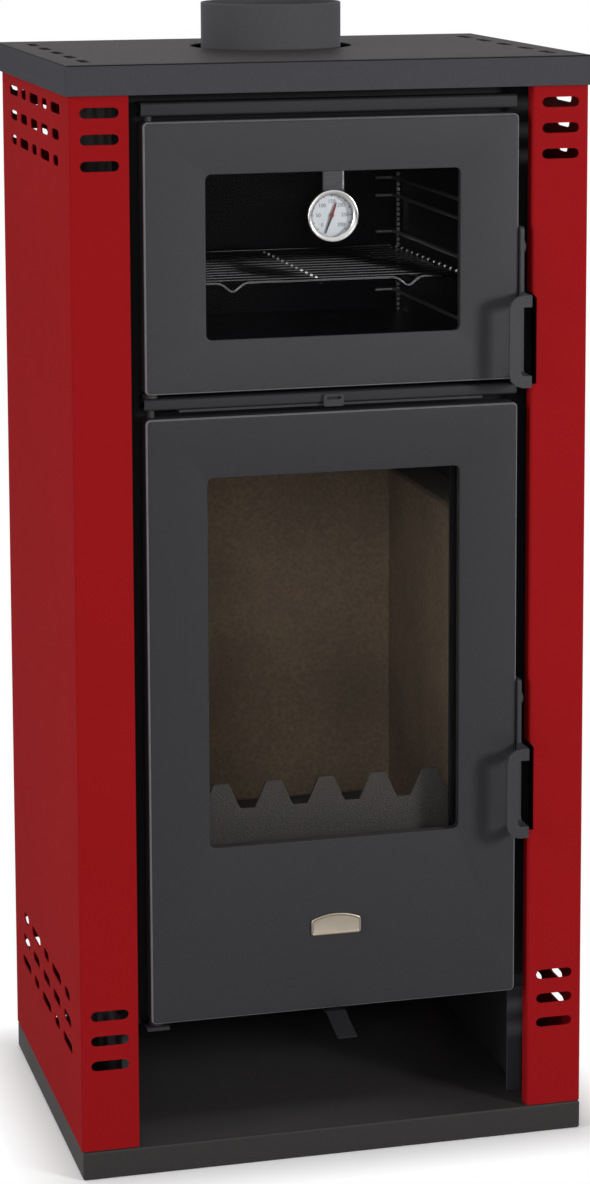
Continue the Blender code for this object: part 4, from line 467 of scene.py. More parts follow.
FINISH["needle_red"] = needle_paint.material
print("bright metals: 3, and the needle's red")

# %% [markdown]
# ## Ways to make a surface
#
# Each new piece is a grid of points worked out as whole arrays. A grid has rows and columns, and one function
# turns any grid into a mesh: it may close the rows or the columns on themselves, and its UV map counts columns
# as a fraction and rows by their length, so that a pattern such as a knit follows the piece.

# %% Grid to mesh
def grid_mesh(name, grid, close_rows=False, close_columns=False, cap=False):
    """Mesh over a grid of points: face i, j joins points i, j to i + 1, j + 1; caps fill the first and last row."""
    rows, columns = grid.shape[:2]
    row_faces = rows if close_rows else rows - 1
    column_faces = columns if close_columns else columns - 1
    i, j = np.meshgrid(np.arange(row_faces), np.arange(column_faces), indexing="ij")
    i_next, j_next = (i + 1) % rows, (j + 1) % columns
    corners = [(i, j), (i, j_next), (i_next, j_next), (i_next, j)]
    faces = np.stack([a * columns + b for a, b in corners], axis=-1).reshape(-1, 4).tolist()
    if cap:
        faces.append(list(range(columns)))
        faces.append(list(range((rows - 1) * columns, rows * columns)))
    mesh = bpy.data.meshes.new(name)
    mesh.from_pydata(grid.reshape(-1, 3).tolist(), [], faces)

    steps = np.linalg.norm(np.diff(grid, axis=0, append=grid[:1]), axis=2).mean(axis=1)
    reach = np.concatenate([[0.0], np.cumsum(steps)])
    u = np.stack([j, j + 1, j + 1, j], axis=-1) / columns
    v = np.stack([reach[i], reach[i], reach[i + 1], reach[i + 1]], axis=-1)
    uv = np.zeros((len(mesh.loops), 2))
    uv[: u.size] = np.stack([u, v], axis=-1).reshape(-1, 2)
    mesh.uv_layers.new(name="UVMap").data.foreach_set("uv", uv.ravel())
    return mesh


SMOOTH_UNDER = 35.0


def linked(name, data):
    """New object in the scene for a mesh, a curve, a camera or a lamp."""
    piece = bpy.data.objects.new(name, data)
    bpy.context.scene.collection.objects.link(piece)
    return piece


def whole(name, mesh):
    """Object of a mesh with its doubles merged, its faces turned outwards and its soft edges smooth."""
    work = bmesh.new()
    work.from_mesh(mesh)
    bmesh.ops.remove_doubles(work, verts=work.verts, dist=1e-6)
    bmesh.ops.recalc_face_normals(work, faces=work.faces)
    work.to_mesh(mesh)
    work.free()
    mesh.shade_smooth()
    mesh.set_sharp_from_angle(angle=math.radians(SMOOTH_UNDER))
    return linked(name, mesh)


def surface(name, grid, **closing):
    """Object over one grid of points."""
    return whole(name, grid_mesh(name, grid, **closing))


def joined(name, meshes):
    """One mesh of several, such as the wires of a rack."""
    work = bmesh.new()
    for mesh in meshes:
        work.from_mesh(mesh)
    together = bpy.data.meshes.new(name)
    work.to_mesh(together)
    work.free()
    return together


def dress(piece, slot, body, finish=None):
    """Give a piece its finish, or its slot's finish when none is given, and the body that it moves with."""
    piece.data.materials.clear()
    piece.data.materials.append(finish or FINISH[slot])
    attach(piece, body)
    return piece


def stand_for(piece, node, *more, finish=None):
    """Let a piece stand for one or more solids; the first one's own coat comes before its slot's finish."""
    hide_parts(node, *more)
    return dress(piece, SLOT[node], BODY[node], finish or COAT.get(node))


print("surface helpers ready")

# %% [markdown]
# ## Profiles and paths
#
# Three forms cover the stove: rounded rectangles one behind another, as on the doors; a profile turned about an
# axis, as on the collar; and a circle carried along a path, as on wires and ropes.

# %% Rectangles, turned forms and tubes
def rectangle(half_width, low, high, radius, y, per_corner=7):
    """Upright rounded rectangle: each corner is a quarter circle about a centre drawn in by the radius."""
    quarter = np.linspace(0.0, math.pi / 2, per_corner)
    angle = np.concatenate([quarter + k * math.pi / 2 for k in range(4)])
    side = np.repeat([1, -1, -1, 1], per_corner)
    centre = np.repeat([high - radius, high - radius, low + radius, low + radius], per_corner)
    x = side * (half_width - radius) + radius * np.cos(angle)
    z = centre + radius * np.sin(angle)
    return np.stack([x, np.full_like(x, y), z], axis=1)


def inset(outline, distance):
    """Rectangle given as half width, low, high and corner radius, drawn in on all sides."""
    half_width, low, high, radius = outline
    return half_width - distance, low + distance, high - distance, max(radius - distance, 0.0004)


def turned(name, profile, centre, axis="Z", around=96, closed=True):
    """Profile of radius and height turned about an upright or a deep axis by r cos a and r sin a."""
    profile = np.asarray(profile)
    angle = np.linspace(0.0, 2 * math.pi, around, endpoint=False)
    radius, height = profile[:, :1], profile[:, 1:]
    first, second = radius * np.cos(angle), radius * np.sin(angle)
    level = height + np.zeros_like(angle)
    parts = {"Z": (first, second, level), "Y": (first, level, second)}[axis]
    grid = np.stack(parts, axis=-1) + np.asarray(centre)
    return surface(name, grid, close_rows=closed, close_columns=True)


def tube_grid(path, radius, flat, closed=False, around=12):
    """Circle carried along a path, square to it; one of its axes lies in the plane whose normal is flat."""
    path = np.asarray(path, float)
    if closed:
        ahead = np.roll(path, -1, axis=0) - np.roll(path, 1, axis=0)
    else:
        ahead = np.gradient(path, axis=0)
    ahead /= np.linalg.norm(ahead, axis=1, keepdims=True)
    side = np.cross(ahead, np.asarray(flat, float))
    side /= np.linalg.norm(side, axis=1, keepdims=True)
    lift = np.cross(side, ahead)
    angle = np.linspace(0.0, 2 * math.pi, around, endpoint=False)[None, :, None]
    ring = np.cos(angle) * side[:, None, :] + np.sin(angle) * lift[:, None, :]
    return path[:, None, :] + radius * ring


def arc_points(centre, start, end, radius, count=7):
    """Points of an arc in a plane between two angles."""
    angle = np.radians(np.linspace(start, end, count))
    return np.stack([centre[0] + radius * np.cos(angle), centre[1] + radius * np.sin(angle)], axis=1)


def rounded_loop(corners, count, rounding):
    """Closed line through corners at even steps; the mean of some neighbours at each point rounds the corners."""
    corners = np.asarray(corners, float)
    closed = np.concatenate([corners, corners[:1]])
    length = np.concatenate([[0.0], np.cumsum(np.linalg.norm(np.diff(closed, axis=0), axis=1))])
    even = np.linspace(0.0, length[-1], count, endpoint=False)
    line = np.stack([np.interp(even, length, column) for column in closed.T], axis=1)
    shifts = np.arange(rounding) - rounding // 2
    return np.mean([np.roll(line, shift, axis=0) for shift in shifts], axis=0)


print("profile helpers ready")

# %% [markdown]
# ## Soft edges on folded sheet
#
# A solid has edges of no width, and no real edge is like that: a guillotined and painted sheet has an edge of a
# few tenths of a millimetre that catches a thin line of light. A copy of the solid is merged, freed of its
# needless edges and bevelled. Faces with many corners, such as a side with its slots, are cut into well-shaped
# triangles first, because a bevel can fold a thin one over. The normals are weighted by area, so that large flat
# faces stay evenly lit up to their slots. The right flange also has a shallow notch beside each handle, which
# leaves room for fingers.

# %% Softened copies
def notched(piece, forms):
    """Take closed forms out of a piece and remove them."""
    for form in forms:
        notch = piece.modifiers.new("notch", "BOOLEAN")
        notch.operation = "DIFFERENCE"
        notch.solver = "EXACT"
        notch.object = form
    bpy.context.view_layer.update()
    piece.data = bpy.data.meshes.new_from_object(piece.evaluated_get(bpy.context.evaluated_depsgraph_get()))
    piece.modifiers.clear()
    for form in forms:
        bpy.data.objects.remove(form)


SHARP_OVER = math.radians(30.0)
FLAT_UNDER = math.radians(0.7)
FEW_CORNERS = 12


def softened(node, width, forms=()):
    """Copy of a solid whose sharp edges get a small round; forms are taken out of it."""
    source = frame["nodes"][node].data
    mesh = bpy.data.meshes.new(node + "_soft")
    mesh.from_pydata([point.co[:] for point in source.vertices], [], [face.vertices[:] for face in source.polygons])
    work = bmesh.new()
    work.from_mesh(mesh)
    bmesh.ops.remove_doubles(work, verts=work.verts, dist=2e-6)
    bmesh.ops.dissolve_limit(work, angle_limit=FLAT_UNDER, verts=work.verts, edges=work.edges)
    bmesh.ops.recalc_face_normals(work, faces=work.faces)
    perforated = [face for face in work.faces if len(face.verts) > FEW_CORNERS]
    bmesh.ops.triangulate(work, faces=perforated, quad_method="BEAUTY", ngon_method="BEAUTY")
    work.to_mesh(mesh)
    work.free()
    piece = linked(node + "_soft", mesh)
    if forms:
        notched(piece, forms)
    piece.data.shade_smooth()
    piece.data.set_sharp_from_angle(angle=SHARP_OVER)
    if width > 0:
        edge = piece.modifiers.new("edge", "BEVEL")
        edge.width = width
        edge.segments = 2
        edge.limit_method = "ANGLE"
        edge.angle_limit = SHARP_OVER
        edge.use_clamp_overlap = True
        flat = piece.modifiers.new("flat", "WEIGHTED_NORMAL")
        flat.keep_sharp = True
    return stand_for(piece, node)


NOTCH_DEPTH = 0.005
NOTCH_FOOT = -0.001
NOTCH_HEAD = 0.0748
NOTCH_SLANT = 0.006
NOTCH_SPARE = 0.004


def flange_notch(node):
    """Prism through the right flange beside a handle: straight at its foot and slanted at its head."""
    grip_low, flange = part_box(node)[0].z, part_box("side_casing_right")[0]
    foot, head = grip_low + NOTCH_FOOT, grip_low + NOTCH_HEAD
    top = head + NOTCH_SLANT
    outline = [(-NOTCH_SPARE, foot), (NOTCH_DEPTH, foot), (NOTCH_DEPTH, head), (0.0, top), (-NOTCH_SPARE, top)]
    outline = np.array(outline)
    grid = np.zeros((2, len(outline), 3))
    grid[:, :, 0] = flange.x + outline[:, 0]
    grid[:, :, 1] = np.array([flange.y - NOTCH_SPARE, flange.y + 4 * NOTCH_SPARE])[:, None]
    grid[:, :, 2] = outline[:, 1]
    return surface("flange_notch", grid, close_columns=True, cap=True)


EDGES = {
    "side_casing_left": 0.0004,
    "side_casing_right": 0.0004,
    "top_plate": 0.0006,
    "base_plate": 0.0006,
    "front_frame": 0.0004,
    "rear_shield": 0.0003,
    "leg_left": 0.0005,
    "leg_right": 0.0005,
    "oven_door_handle": 0.0008,
    "firebox_door_handle": 0.0008,
    "primary_air_slide": 0.0005,
    "secondary_air_slide": 0.0004,
    "log_guard": 0.0007,
    "grate": 0.0008,
    "ash_pan": 0.0003,
    "firebrick_left": 0.0010,
    "firebrick_right": 0.0010,
    "firebrick_back": 0.0010,
    "oven_box": 0.0005,
    "body_shell": 0.0004,
    "fire_bed_plate": 0.0004,
}
for node, width in EDGES.items():
    right_flange = node == "side_casing_right"
    grips = ("oven_door_handle", "firebox_door_handle") if right_flange else ()
    softened(node, width, forms=[flange_notch(grip) for grip in grips])
print("softened solids:", len(EDGES))

# %% [markdown]
# ## The flue collar
#
# The flue pipe slips over a short collar of rolled sheet, welded at its foot. A turned profile gives its wall, a
# rounded rim and the small bead of the weld.

# %% Flue collar
low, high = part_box("flue_collar")
collar_axis = ((low.x + high.x) / 2, (low.y + high.y) / 2, 0.0)
COLLAR_RADIUS = 0.064
COLLAR_WALL = 0.0025
foot_radius = (high.x - low.x) / 2
rim = arc_points((COLLAR_RADIUS - COLLAR_WALL / 2, high.z - COLLAR_WALL / 2), 180, 0, COLLAR_WALL / 2, 9)
foot_top = low.z + 0.003
weld = arc_points((COLLAR_RADIUS + 0.004, foot_top + 0.004), 180, 270, 0.004, 6)
profile = np.concatenate([
    [(COLLAR_RADIUS - COLLAR_WALL, low.z)],
    rim,
    weld,
    arc_points((foot_radius - 0.0008, foot_top - 0.0008), 90, 0, 0.0008, 4),
    [(foot_radius, low.z)],
])
collar = stand_for(turned("flue_collar_rolled", profile, collar_axis, around=144), "flue_collar")
print("collar:", len(collar.data.polygons), "faces")

# %% [markdown]
# ## The two doors
#
# Each door is a pan pressed from one sheet: a flat face with a window, and a rim bent back all round. Its skin is
# one ring of rounded rectangles, from the rim's lip over the bend and the face to the window edge and back along
# the inside.

# %% Door skins
DOOR_SHEET = 0.0025
DOOR_BEND = 0.0034
WINDOW_EDGE = 0.0010
GASKET_REACH = 0.012


def pressed_door(door):
    """Pan with a window: rounded rectangles whose inset and depth follow the sheet's own section."""
    low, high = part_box(door + "_panel")
    seat_low, seat_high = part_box(door + "_glass_gasket")
    outer = (high.x, low.z, high.z, 0.0045)
    window = (seat_high.x - GASKET_REACH, seat_low.z + GASKET_REACH, seat_high.z - GASKET_REACH, 0.005)
    front, back = low.y, high.y
    bend = arc_points((DOOR_BEND, front + DOOR_BEND), 180, 270, DOOR_BEND, 8)
    lip = arc_points((0.0, front + WINDOW_EDGE), 270, 360, WINDOW_EDGE, 5)
    inner_bend = arc_points((DOOR_BEND, front + DOOR_BEND), 270, 180, DOOR_BEND - DOOR_SHEET, 5)
    rows = [rectangle(*inset(outer, DOOR_SHEET), back), rectangle(*inset(outer, DOOR_SHEET - 0.0004), back)]
    rows += [rectangle(*inset(outer, 0.0004), back), rectangle(*outer, back - 0.0004)]
    rows += [rectangle(*inset(outer, distance), y) for distance, y in bend]
    rows += [rectangle(*inset(window, distance - WINDOW_EDGE), y) for distance, y in lip]
    rows += [rectangle(*window, front + DOOR_SHEET)]
    rows += [rectangle(*inset(outer, distance), y) for distance, y in inner_bend]
    return surface(door + "_skin", np.stack(rows), close_rows=True, close_columns=True)


for door in ("oven_door", "firebox_door"):
    skin = stand_for(pressed_door(door), door + "_panel")
    print(door, "skin:", len(skin.data.polygons), "faces")

# %% [markdown]
# ## Seals and glass beds
#
# The rope lies in a steel channel round the door's back, and a flat fibre tape beds the glass. The rope is a
# circle carried round a rectangle with rounded corners, and the tape a soft oval in the same way.

# %% Rope and tape
def rope_ring(name, outline, y, wide, thick, around=14):
    """Oval carried round a rounded rectangle: half its width in the plane and half its thickness in depth."""
    path = rectangle(*outline, y, per_corner=10)
    straight = np.linspace(0.0, 1.0, 12, endpoint=False)[:, None]
    path = np.concatenate([a + (b - a) * straight for a, b in zip(path, np.roll(path, -1, axis=0))])
    path = path[np.linalg.norm(path - np.roll(path, 1, axis=0), axis=1) > 1e-5]
    grid = tube_grid(path, 1.0, (0.0, 1.0, 0.0), closed=True, around=around) - path[:, None, :]
    grid = grid * np.array([wide, thick, wide]) + path[:, None, :]
    return surface(name, grid, close_rows=True, close_columns=True)


for door in ("oven_door", "firebox_door"):
    low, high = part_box(door + "_seal")
    radius = (high.y - low.y) / 2
    outline = (high.x - radius, low.z + radius, high.z - radius, 0.012)
    stand_for(rope_ring(door + "_rope", outline, (low.y + high.y) / 2, radius, radius), door + "_seal")
    low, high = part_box(door + "_glass_gasket")
    thick, wide = (high.y - low.y) / 2, 0.005
    outline = (high.x - wide, low.z + wide, high.z - wide, 0.006)
    tape = rope_ring(door + "_tape", outline, (low.y + high.y) / 2, wide, thick, 12)
    stand_for(tape, door + "_glass_gasket")
print("ropes and tapes: 2 each")

# %% [markdown]
# ## Oven shelf and racks
#
# Shelf and racks are drawn wire, welded where wires cross. The shelf's rim is one closed wire whose front dips
# twice, so that a cloth-covered finger can pull it. A circle carried along a path gives a wire of any shape, and
# it stays round through a bend because its plane turns with the path.

# %% Wire shelf
SHELF_RIM = 0.0020
SHELF_WIRE = 0.0011
CROSS_WIRE = 0.0016
DIP_CENTRE = 0.0795
DIP_HALF_WIDTH = 0.011
DIP_DEPTH = 0.009
SHELF_WIRES = 12
CROSS_PLACES = (-0.087, 0.0, 0.087)


def straight_wire(start, end, radius, around=10):
    """Closed tube between two points."""
    path = np.linspace(start, end, 2)
    flat = (0.0, 0.0, 1.0) if abs(start[2] - end[2]) < 1e-6 else (0.0, 1.0, 0.0)
    return grid_mesh("wire", tube_grid(path, radius, flat, around=around), close_columns=True, cap=True)


low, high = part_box("oven_shelf")
half = high.x - SHELF_RIM
level = high.z - SHELF_RIM
front, back = low.y + SHELF_RIM, high.y - SHELF_RIM
corners = [(-half, front, level)]
for side in (-1, 1):
    dip = [(-DIP_HALF_WIDTH, 0.0), (0.0, -DIP_DEPTH), (DIP_HALF_WIDTH, 0.0)]
    corners += [(side * DIP_CENTRE + x, front, level + z) for x, z in dip]
corners += [(half, front, level), (half, back, level), (-half, back, level)]
rim = rounded_loop(corners, 520, 5)
rim = tube_grid(rim, SHELF_RIM, (0.0, 0.0, 1.0), closed=True)
wires = [grid_mesh("rim", rim, close_rows=True, close_columns=True)]
wire_places = np.linspace(front, back, SHELF_WIRES + 2)[1:-1]
for y in wire_places:
    wires.append(straight_wire((-half, y, level), (half, y, level), SHELF_WIRE))
under = level - SHELF_WIRE - CROSS_WIRE + 0.0006
for x in CROSS_PLACES:
    wires.append(straight_wire((x, front, under), (x, back, under), CROSS_WIRE))
shelf = stand_for(whole("wire_shelf", joined("wire_shelf", wires)), "oven_shelf")
print("shelf:", len(wires), "wires,", len(shelf.data.polygons), "faces")

# %% [markdown]
# Every wire is spot-welded to the rim and to the middle cross wire, and each weld is a small bright bead. A bead
# is a ball of rings from pole to pole, and all of them are one piece that moves with the shelf's body.

# %% Weld beads
def bead(centre, radius, rings=6, around=8):
    """Ball: rings of radius r sin t at height r cos t, closed at the poles."""
    t = np.linspace(0.0, math.pi, rings)[:, None]
    angle = np.linspace(0.0, 2 * math.pi, around, endpoint=False)
    parts = np.sin(t) * np.cos(angle), np.sin(t) * np.sin(angle), np.cos(t) + np.zeros_like(angle)
    return grid_mesh("bead", radius * np.stack(parts, axis=-1) + np.asarray(centre), close_columns=True)


beads = []
for y in wire_places:
    beads += [bead((side * (half - 0.0006), y, level + 0.0006), 0.0022) for side in (-1, 1)]
    beads += [bead((0.0, y, level - 0.0002), 0.0018)]
weld_metal = bright("bright_welds", (0.85, 0.85, 0.84), 0.30, (90.0, 90.0, 90.0))
welds = whole("shelf_welds", joined("shelf_welds", beads))
dress(welds, "chromed_wire", BODY["oven_shelf"], weld_metal.material)
print("weld beads:", len(beads))

# %% [markdown]
# A rack is two posts and five rungs. Each rung runs from front to back on the inner side of the posts and turns
# inwards along the oven's back wall with a short stub, which keeps a tray from touching the wall. The posts are
# painted in dark bands between bright dashes, a painted reflection of the rungs, so the height of a point,
# counted in bands, decides between bright and dull.

# %% Wire racks
RACK_POST = 0.0020
RACK_RUNG = 0.0017
RUNG_OVERHANG = 0.004
STUB_LENGTH = 0.014
STUB_BEND = 0.004
LOW_RUNG = 0.019
PAIR_RUNG = 0.0577
PAIR_RISE = 0.0515
PAIR_GAP = 0.017
BANDS_TO_METRE = 210.0
BRIGHT_PART = 0.62


def rack_rung(x, side, front, back, level):
    """Straight run, a quarter circle and a stub that points to the oven's middle."""
    bend = arc_points((x - side * STUB_BEND, back - STUB_BEND), 0, 90, STUB_BEND, 6)
    bend[:, 0] = x - side * STUB_BEND + side * (bend[:, 0] - x + side * STUB_BEND)
    run = np.concatenate([[(x, front)], bend, [(x - side * (STUB_BEND + STUB_LENGTH), back)]])
    path = np.column_stack([run, np.full(len(run), level)])
    return grid_mesh("rung", tube_grid(path, RACK_RUNG, (0.0, 0.0, 1.0), around=10), close_columns=True, cap=True)


rack_wire = bright("bright_rack_wire", (0.80, 0.80, 0.79), 0.34, (90.0, 90.0, 90.0))
on_post = rack_wire.axis(0).math("ABSOLUTE") > (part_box("oven_rack_right")[0].x + 2 * RACK_RUNG)
# Dark bands between bright dashes on the posts are a painted reflection.
dull = (rack_wire.axis(2) * BANDS_TO_METRE).math("FLOORED_MODULO", 1.0) > BRIGHT_PART
rack_wire.set("Base Color", rack_wire.mix(on_post * dull, (0.72, 0.72, 0.71), (0.035, 0.035, 0.036)))
for side, node in ((-1, "oven_rack_left"), (1, "oven_rack_right")):
    low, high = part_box(node)
    floor, top = low.z, high.z
    x_post = side * (max(abs(low.x), abs(high.x)) - RACK_POST)
    x_rung = side * (min(abs(low.x), abs(high.x)) + RACK_RUNG)
    y_front, y_back = low.y, high.y - RACK_RUNG
    posts = [straight_wire((x_post, y, floor), (x_post, y, top), RACK_POST)
             for y in (y_front + RUNG_OVERHANG, high.y - RUNG_OVERHANG)]
    levels = [LOW_RUNG, PAIR_RUNG, PAIR_RUNG + PAIR_GAP, PAIR_RUNG + PAIR_RISE, PAIR_RUNG + PAIR_RISE + PAIR_GAP]
    rungs = [rack_rung(x_rung, side, y_front, y_back, floor + level) for level in levels]
    rack = whole(node + "_wires", joined(node + "_wires", posts + rungs))
    stand_for(rack, node, finish=rack_wire.material)
    print(node, "faces:", len(rack.data.polygons))

# %% [markdown]
# ## The oven thermometer
#
# A small round thermometer hangs in front of the oven glass on a strap. Its case is spun from steel with a
# rolled lip that holds a slightly domed lens; behind it lie a pale dial and a red needle.

# %% Case and lens
low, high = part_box("thermometer_case")
dial_centre = ((low.x + high.x) / 2, 0.0, (low.z + high.z) / 2)
case_radius = (high.x - low.x) / 2
front, back = low.y, high.y
lip_radius = 0.0014
lip = arc_points((case_radius - lip_radius, front + lip_radius), 0, -120, lip_radius, 10)
case_profile = np.concatenate([
    [(0.0, back)],
    arc_points((case_radius - 0.0024, back - 0.0010), 90, 0, 0.0010, 5),
    [(case_radius - 0.0014, front + 0.0042), (case_radius, front + 0.0036)],
    lip,
    [(case_radius - 0.0040, front + 0.0015), (case_radius - 0.0046, front + 0.0026)],
    [(case_radius - 0.0034, front + 0.0029), (case_radius - 0.0034, back - 0.0012), (0.0, back - 0.0012)],
])
stand_for(turned("thermometer_bezel", case_profile, dial_centre, "Y", closed=False), "thermometer_case")

lens_low, lens_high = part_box("thermometer_lens")
lens_radius = (lens_high.x - lens_low.x) / 2
spread = np.linspace(0.0, 1.0, 10)
dome = np.stack([spread * lens_radius, lens_low.y + 0.0004 * spread ** 2], axis=1)
lens_profile = np.concatenate([dome, [(lens_radius, lens_high.y), (0.0, lens_high.y)]])
lens = turned("thermometer_glass", lens_profile, dial_centre, "Y", closed=False)
stand_for(lens, "thermometer_lens")
print("case radius", round(case_radius * 1000, 1), "mm")

# %% [markdown]
# The dial's marks are printed, so they belong in its finish: the angle and the distance from the centre say
# whether a point lies on a tick. The numbers are text turned into a mesh, each set upright at its place.

# %% Dial
low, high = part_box("thermometer_dial")
dial_radius = (high.x - low.x) / 2
SWEEP = 270.0
FINE_STEP = 4.5
COARSE_STEP = 22.5
FINE_PART = 0.44
COARSE_PART = 0.14
PAPER = (0.58, 0.61, 0.65)
INK = (0.012, 0.012, 0.016)

dial = Finish("printed_dial", PAPER, 0.45)
x = dial.axis(0) - dial_centre[0]
z = dial.axis(2) - dial_centre[2]
reach = (x * x + z * z).math("SQRT") / dial_radius
degrees = x.math("ARCTAN2", z) * (180.0 / math.pi)
within = degrees.math("ABSOLUTE") < SWEEP / 2 + 0.6
fine = (degrees / FINE_STEP + FINE_PART / 2).math("FLOORED_MODULO", 1.0) < FINE_PART
coarse = (degrees / COARSE_STEP + COARSE_PART / 2).math("FLOORED_MODULO", 1.0) < COARSE_PART
fine_mark = fine * (reach > 0.81) * (reach < 0.89)
coarse_mark = coarse * (reach > 0.76) * (reach < 0.89)
ring = (reach > 0.89) * (reach < 0.905)
marks = fine_mark.math("MAXIMUM", coarse_mark).math("MAXIMUM", ring) * within
dial.set("Base Color", dial.mix(marks, PAPER, INK))
dial.set("Roughness", dial.noise(200.0) * 0.1 + 0.4)

disc = [(0.0, low.y), (dial_radius * 0.5, low.y), (dial_radius, low.y), (dial_radius, high.y), (0.0, high.y)]
plate = turned("dial_plate", disc, dial_centre, "Y", closed=False)
FINISH["dial_enamel"] = dial.material
stand_for(plate, "thermometer_dial")
print("dial radius", round(dial_radius * 1000, 1), "mm")


# %% Numbers on the dial
def number(text, height, centre):
    """Vertices and faces of a number that stands upright and faces the viewer, centred on a point."""
    curve = bpy.data.curves.new("number", "FONT")
    curve.body = text
    curve.size = height
    curve.align_x = "CENTER"
    curve.align_y = "CENTER"
    holder = linked("number", curve)
    bpy.context.view_layer.update()
    mesh = bpy.data.meshes.new_from_object(holder.evaluated_get(bpy.context.evaluated_depsgraph_get()))
    bpy.data.objects.remove(holder)
    mesh.transform(Matrix.Translation(centre) @ Matrix.Rotation(math.pi / 2, 4, "X"))
    return mesh


NUMBER_COUNT = 7
NUMBER_STEP = 50
NUMBER_HEIGHT = 0.0046
NUMBER_REACH = 0.56
INK_LIFT = 0.00006

figures = []
for index in range(NUMBER_COUNT):
    angle = math.radians(-SWEEP / 2 + index * SWEEP / (NUMBER_COUNT - 1))
    spot = (dial_centre[0] + NUMBER_REACH * dial_radius * math.sin(angle), low.y - INK_LIFT,
            dial_centre[2] + NUMBER_REACH * dial_radius * math.cos(angle))
    figures.append(number(str(index * NUMBER_STEP), NUMBER_HEIGHT, spot))
numbers = linked("dial_numbers", joined("dial_numbers", figures))
ink = Finish("printing_ink", INK, 0.5)
ink.set("Roughness", ink.noise(400.0) * 0.1 + 0.45)
dress(numbers, "dial_enamel", "oven_door", ink.material)
print("numbers:", len(numbers.data.polygons), "faces")

# %% [markdown]
# The needle is a thin blade with a fine tail, and its merged solid is enough. The strap is a narrow channel of
# sheet that hooks over the window edge: one section carried up its height.

# %% Needle and strap
softened("thermometer_needle", 0.0)

low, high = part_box("thermometer_strap")
half = (high.x - low.x) / 2
fold = 0.0011
section = np.array([
    (-half, 0.0), (-half, -fold), (-half + 0.0006, -fold), (-half + 0.0012, -0.0004),
    (half - 0.0012, -0.0004), (half - 0.0006, -fold), (half, -fold), (half, 0.0),
])
levels = np.linspace(low.z, high.z, 12)
grid = np.zeros((len(levels), len(section), 3))
grid[:, :, 0] = section[:, 0]
grid[:, :, 1] = high.y + section[:, 1]
grid[:, :, 2] = levels[:, None]
strap_steel = bright("blued_strap", (0.10, 0.10, 0.105), 0.30, (60.0, 60.0, 900.0))
strap = surface("thermometer_bracket", grid, close_columns=True, cap=True)
stand_for(strap, "thermometer_strap", finish=strap_steel.material)
print("strap:", round(half * 2000, 1), "mm wide")

# %% [markdown]
# ## The badge plate
#
# The badge is a small cast plate with a raised rim and a sunk field, which stays blank here. Its outline has a
# straight foot and an arched top; rows of the same outline, drawn in and set at different depths, give the rim
# its section.

# %% Badge
low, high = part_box("blank_badge")
half = (high.x - low.x) / 2
tall = high.z - low.z


def badge_outline():
    """Foot, sides and a parabola on top, with soft corners."""
    across = np.linspace(half, -half, 30)
    arch = np.stack([across, tall - 0.005 * (across / half) ** 2], axis=1)
    return rounded_loop(np.concatenate([[(-half, 0.0), (half, 0.0)], arch]), 180, 9)


line = badge_outline()
along = np.roll(line, -1, axis=0) - np.roll(line, 1, axis=0)
along /= np.linalg.norm(along, axis=1, keepdims=True)
inward = np.stack([-along[:, 1], along[:, 0]], axis=1)
depth = high.y - low.y
section = [
    (0.0, 0.0), (0.0, 0.55), (0.0002, 0.8), (0.0006, 0.96), (0.0011, 1.0), (0.0016, 0.96),
    (0.0020, 0.8), (0.0023, 0.55), (0.0027, 0.5),
]
rows = []
for drawn_in, share in section:
    outline = line + inward * drawn_in
    rows.append(np.stack([outline[:, 0], np.full(len(line), high.y - depth * share), low.z + outline[:, 1]], 1))
badge = surface("badge_plate", np.stack(rows), close_columns=True, cap=True)
nickel = bright("aged_badge", (0.46, 0.41, 0.33), 0.34, (40.0, 40.0, 700.0))
sunk = nickel.axis(1) > (high.y - depth * 0.7)
patina = nickel.noise(160.0, 3.0) * 0.3 + 0.7
# The raised rim is painted darker than the sunk field: painted shade of its sloping sides.
nickel.set("Base Color", nickel.mix(sunk * patina, (0.32, 0.28, 0.22), (0.53, 0.46, 0.37)))
stand_for(badge, "blank_badge", finish=nickel.material)
print("badge:", len(badge.data.polygons), "faces")

# %% [markdown]
# ## Everything else keeps its solid
#
# The remaining solids already have their true shape, so they keep it and only take their finish.

# %% Finishes on the remaining solids
for node, piece in frame["nodes"].items():
    piece.data.materials.clear()
    piece.data.materials.append(COAT.get(node) or FINISH[SLOT[node]])
print("finishes given to", len(frame["nodes"]), "solids")

# %% [markdown]
# ## Camera
#
# The stove was photographed from its left with a long lens a little above the top plate. The lens was shifted
# down, which keeps the upright edges nearly parallel.

# %% Camera
YAW = 0.2552
PITCH = 0.1395
ROLL = -0.0036
FOCAL_PIXELS = 3213.93
IMAGE_HEIGHT = 1184
AXIS_ROW = 300
CAMERA_PLACE = (-0.7238, -2.7928, 1.1540)

forward = Vector((math.sin(YAW) * math.cos(PITCH), math.cos(YAW) * math.cos(PITCH), -math.sin(PITCH)))
level = Vector((math.cos(YAW), -math.sin(YAW), 0.0))
upright = level.cross(forward)
right = level * math.cos(ROLL) + upright * math.sin(ROLL)
up = upright * math.cos(ROLL) - level * math.sin(ROLL)
camera = linked("camera", bpy.data.cameras.new("camera"))
turn = Matrix((right, up, -forward)).transposed().to_4x4()
camera.matrix_world = Matrix.Translation(CAMERA_PLACE) @ turn
camera.data.sensor_width = 36.0
camera.data.lens = FOCAL_PIXELS / IMAGE_HEIGHT * camera.data.sensor_width
camera.data.shift_y = (AXIS_ROW - IMAGE_HEIGHT / 2) / IMAGE_HEIGHT
bpy.context.scene.camera = camera
print("lens", round(camera.data.lens, 1), "mm, shift", round(camera.data.shift_y, 3))

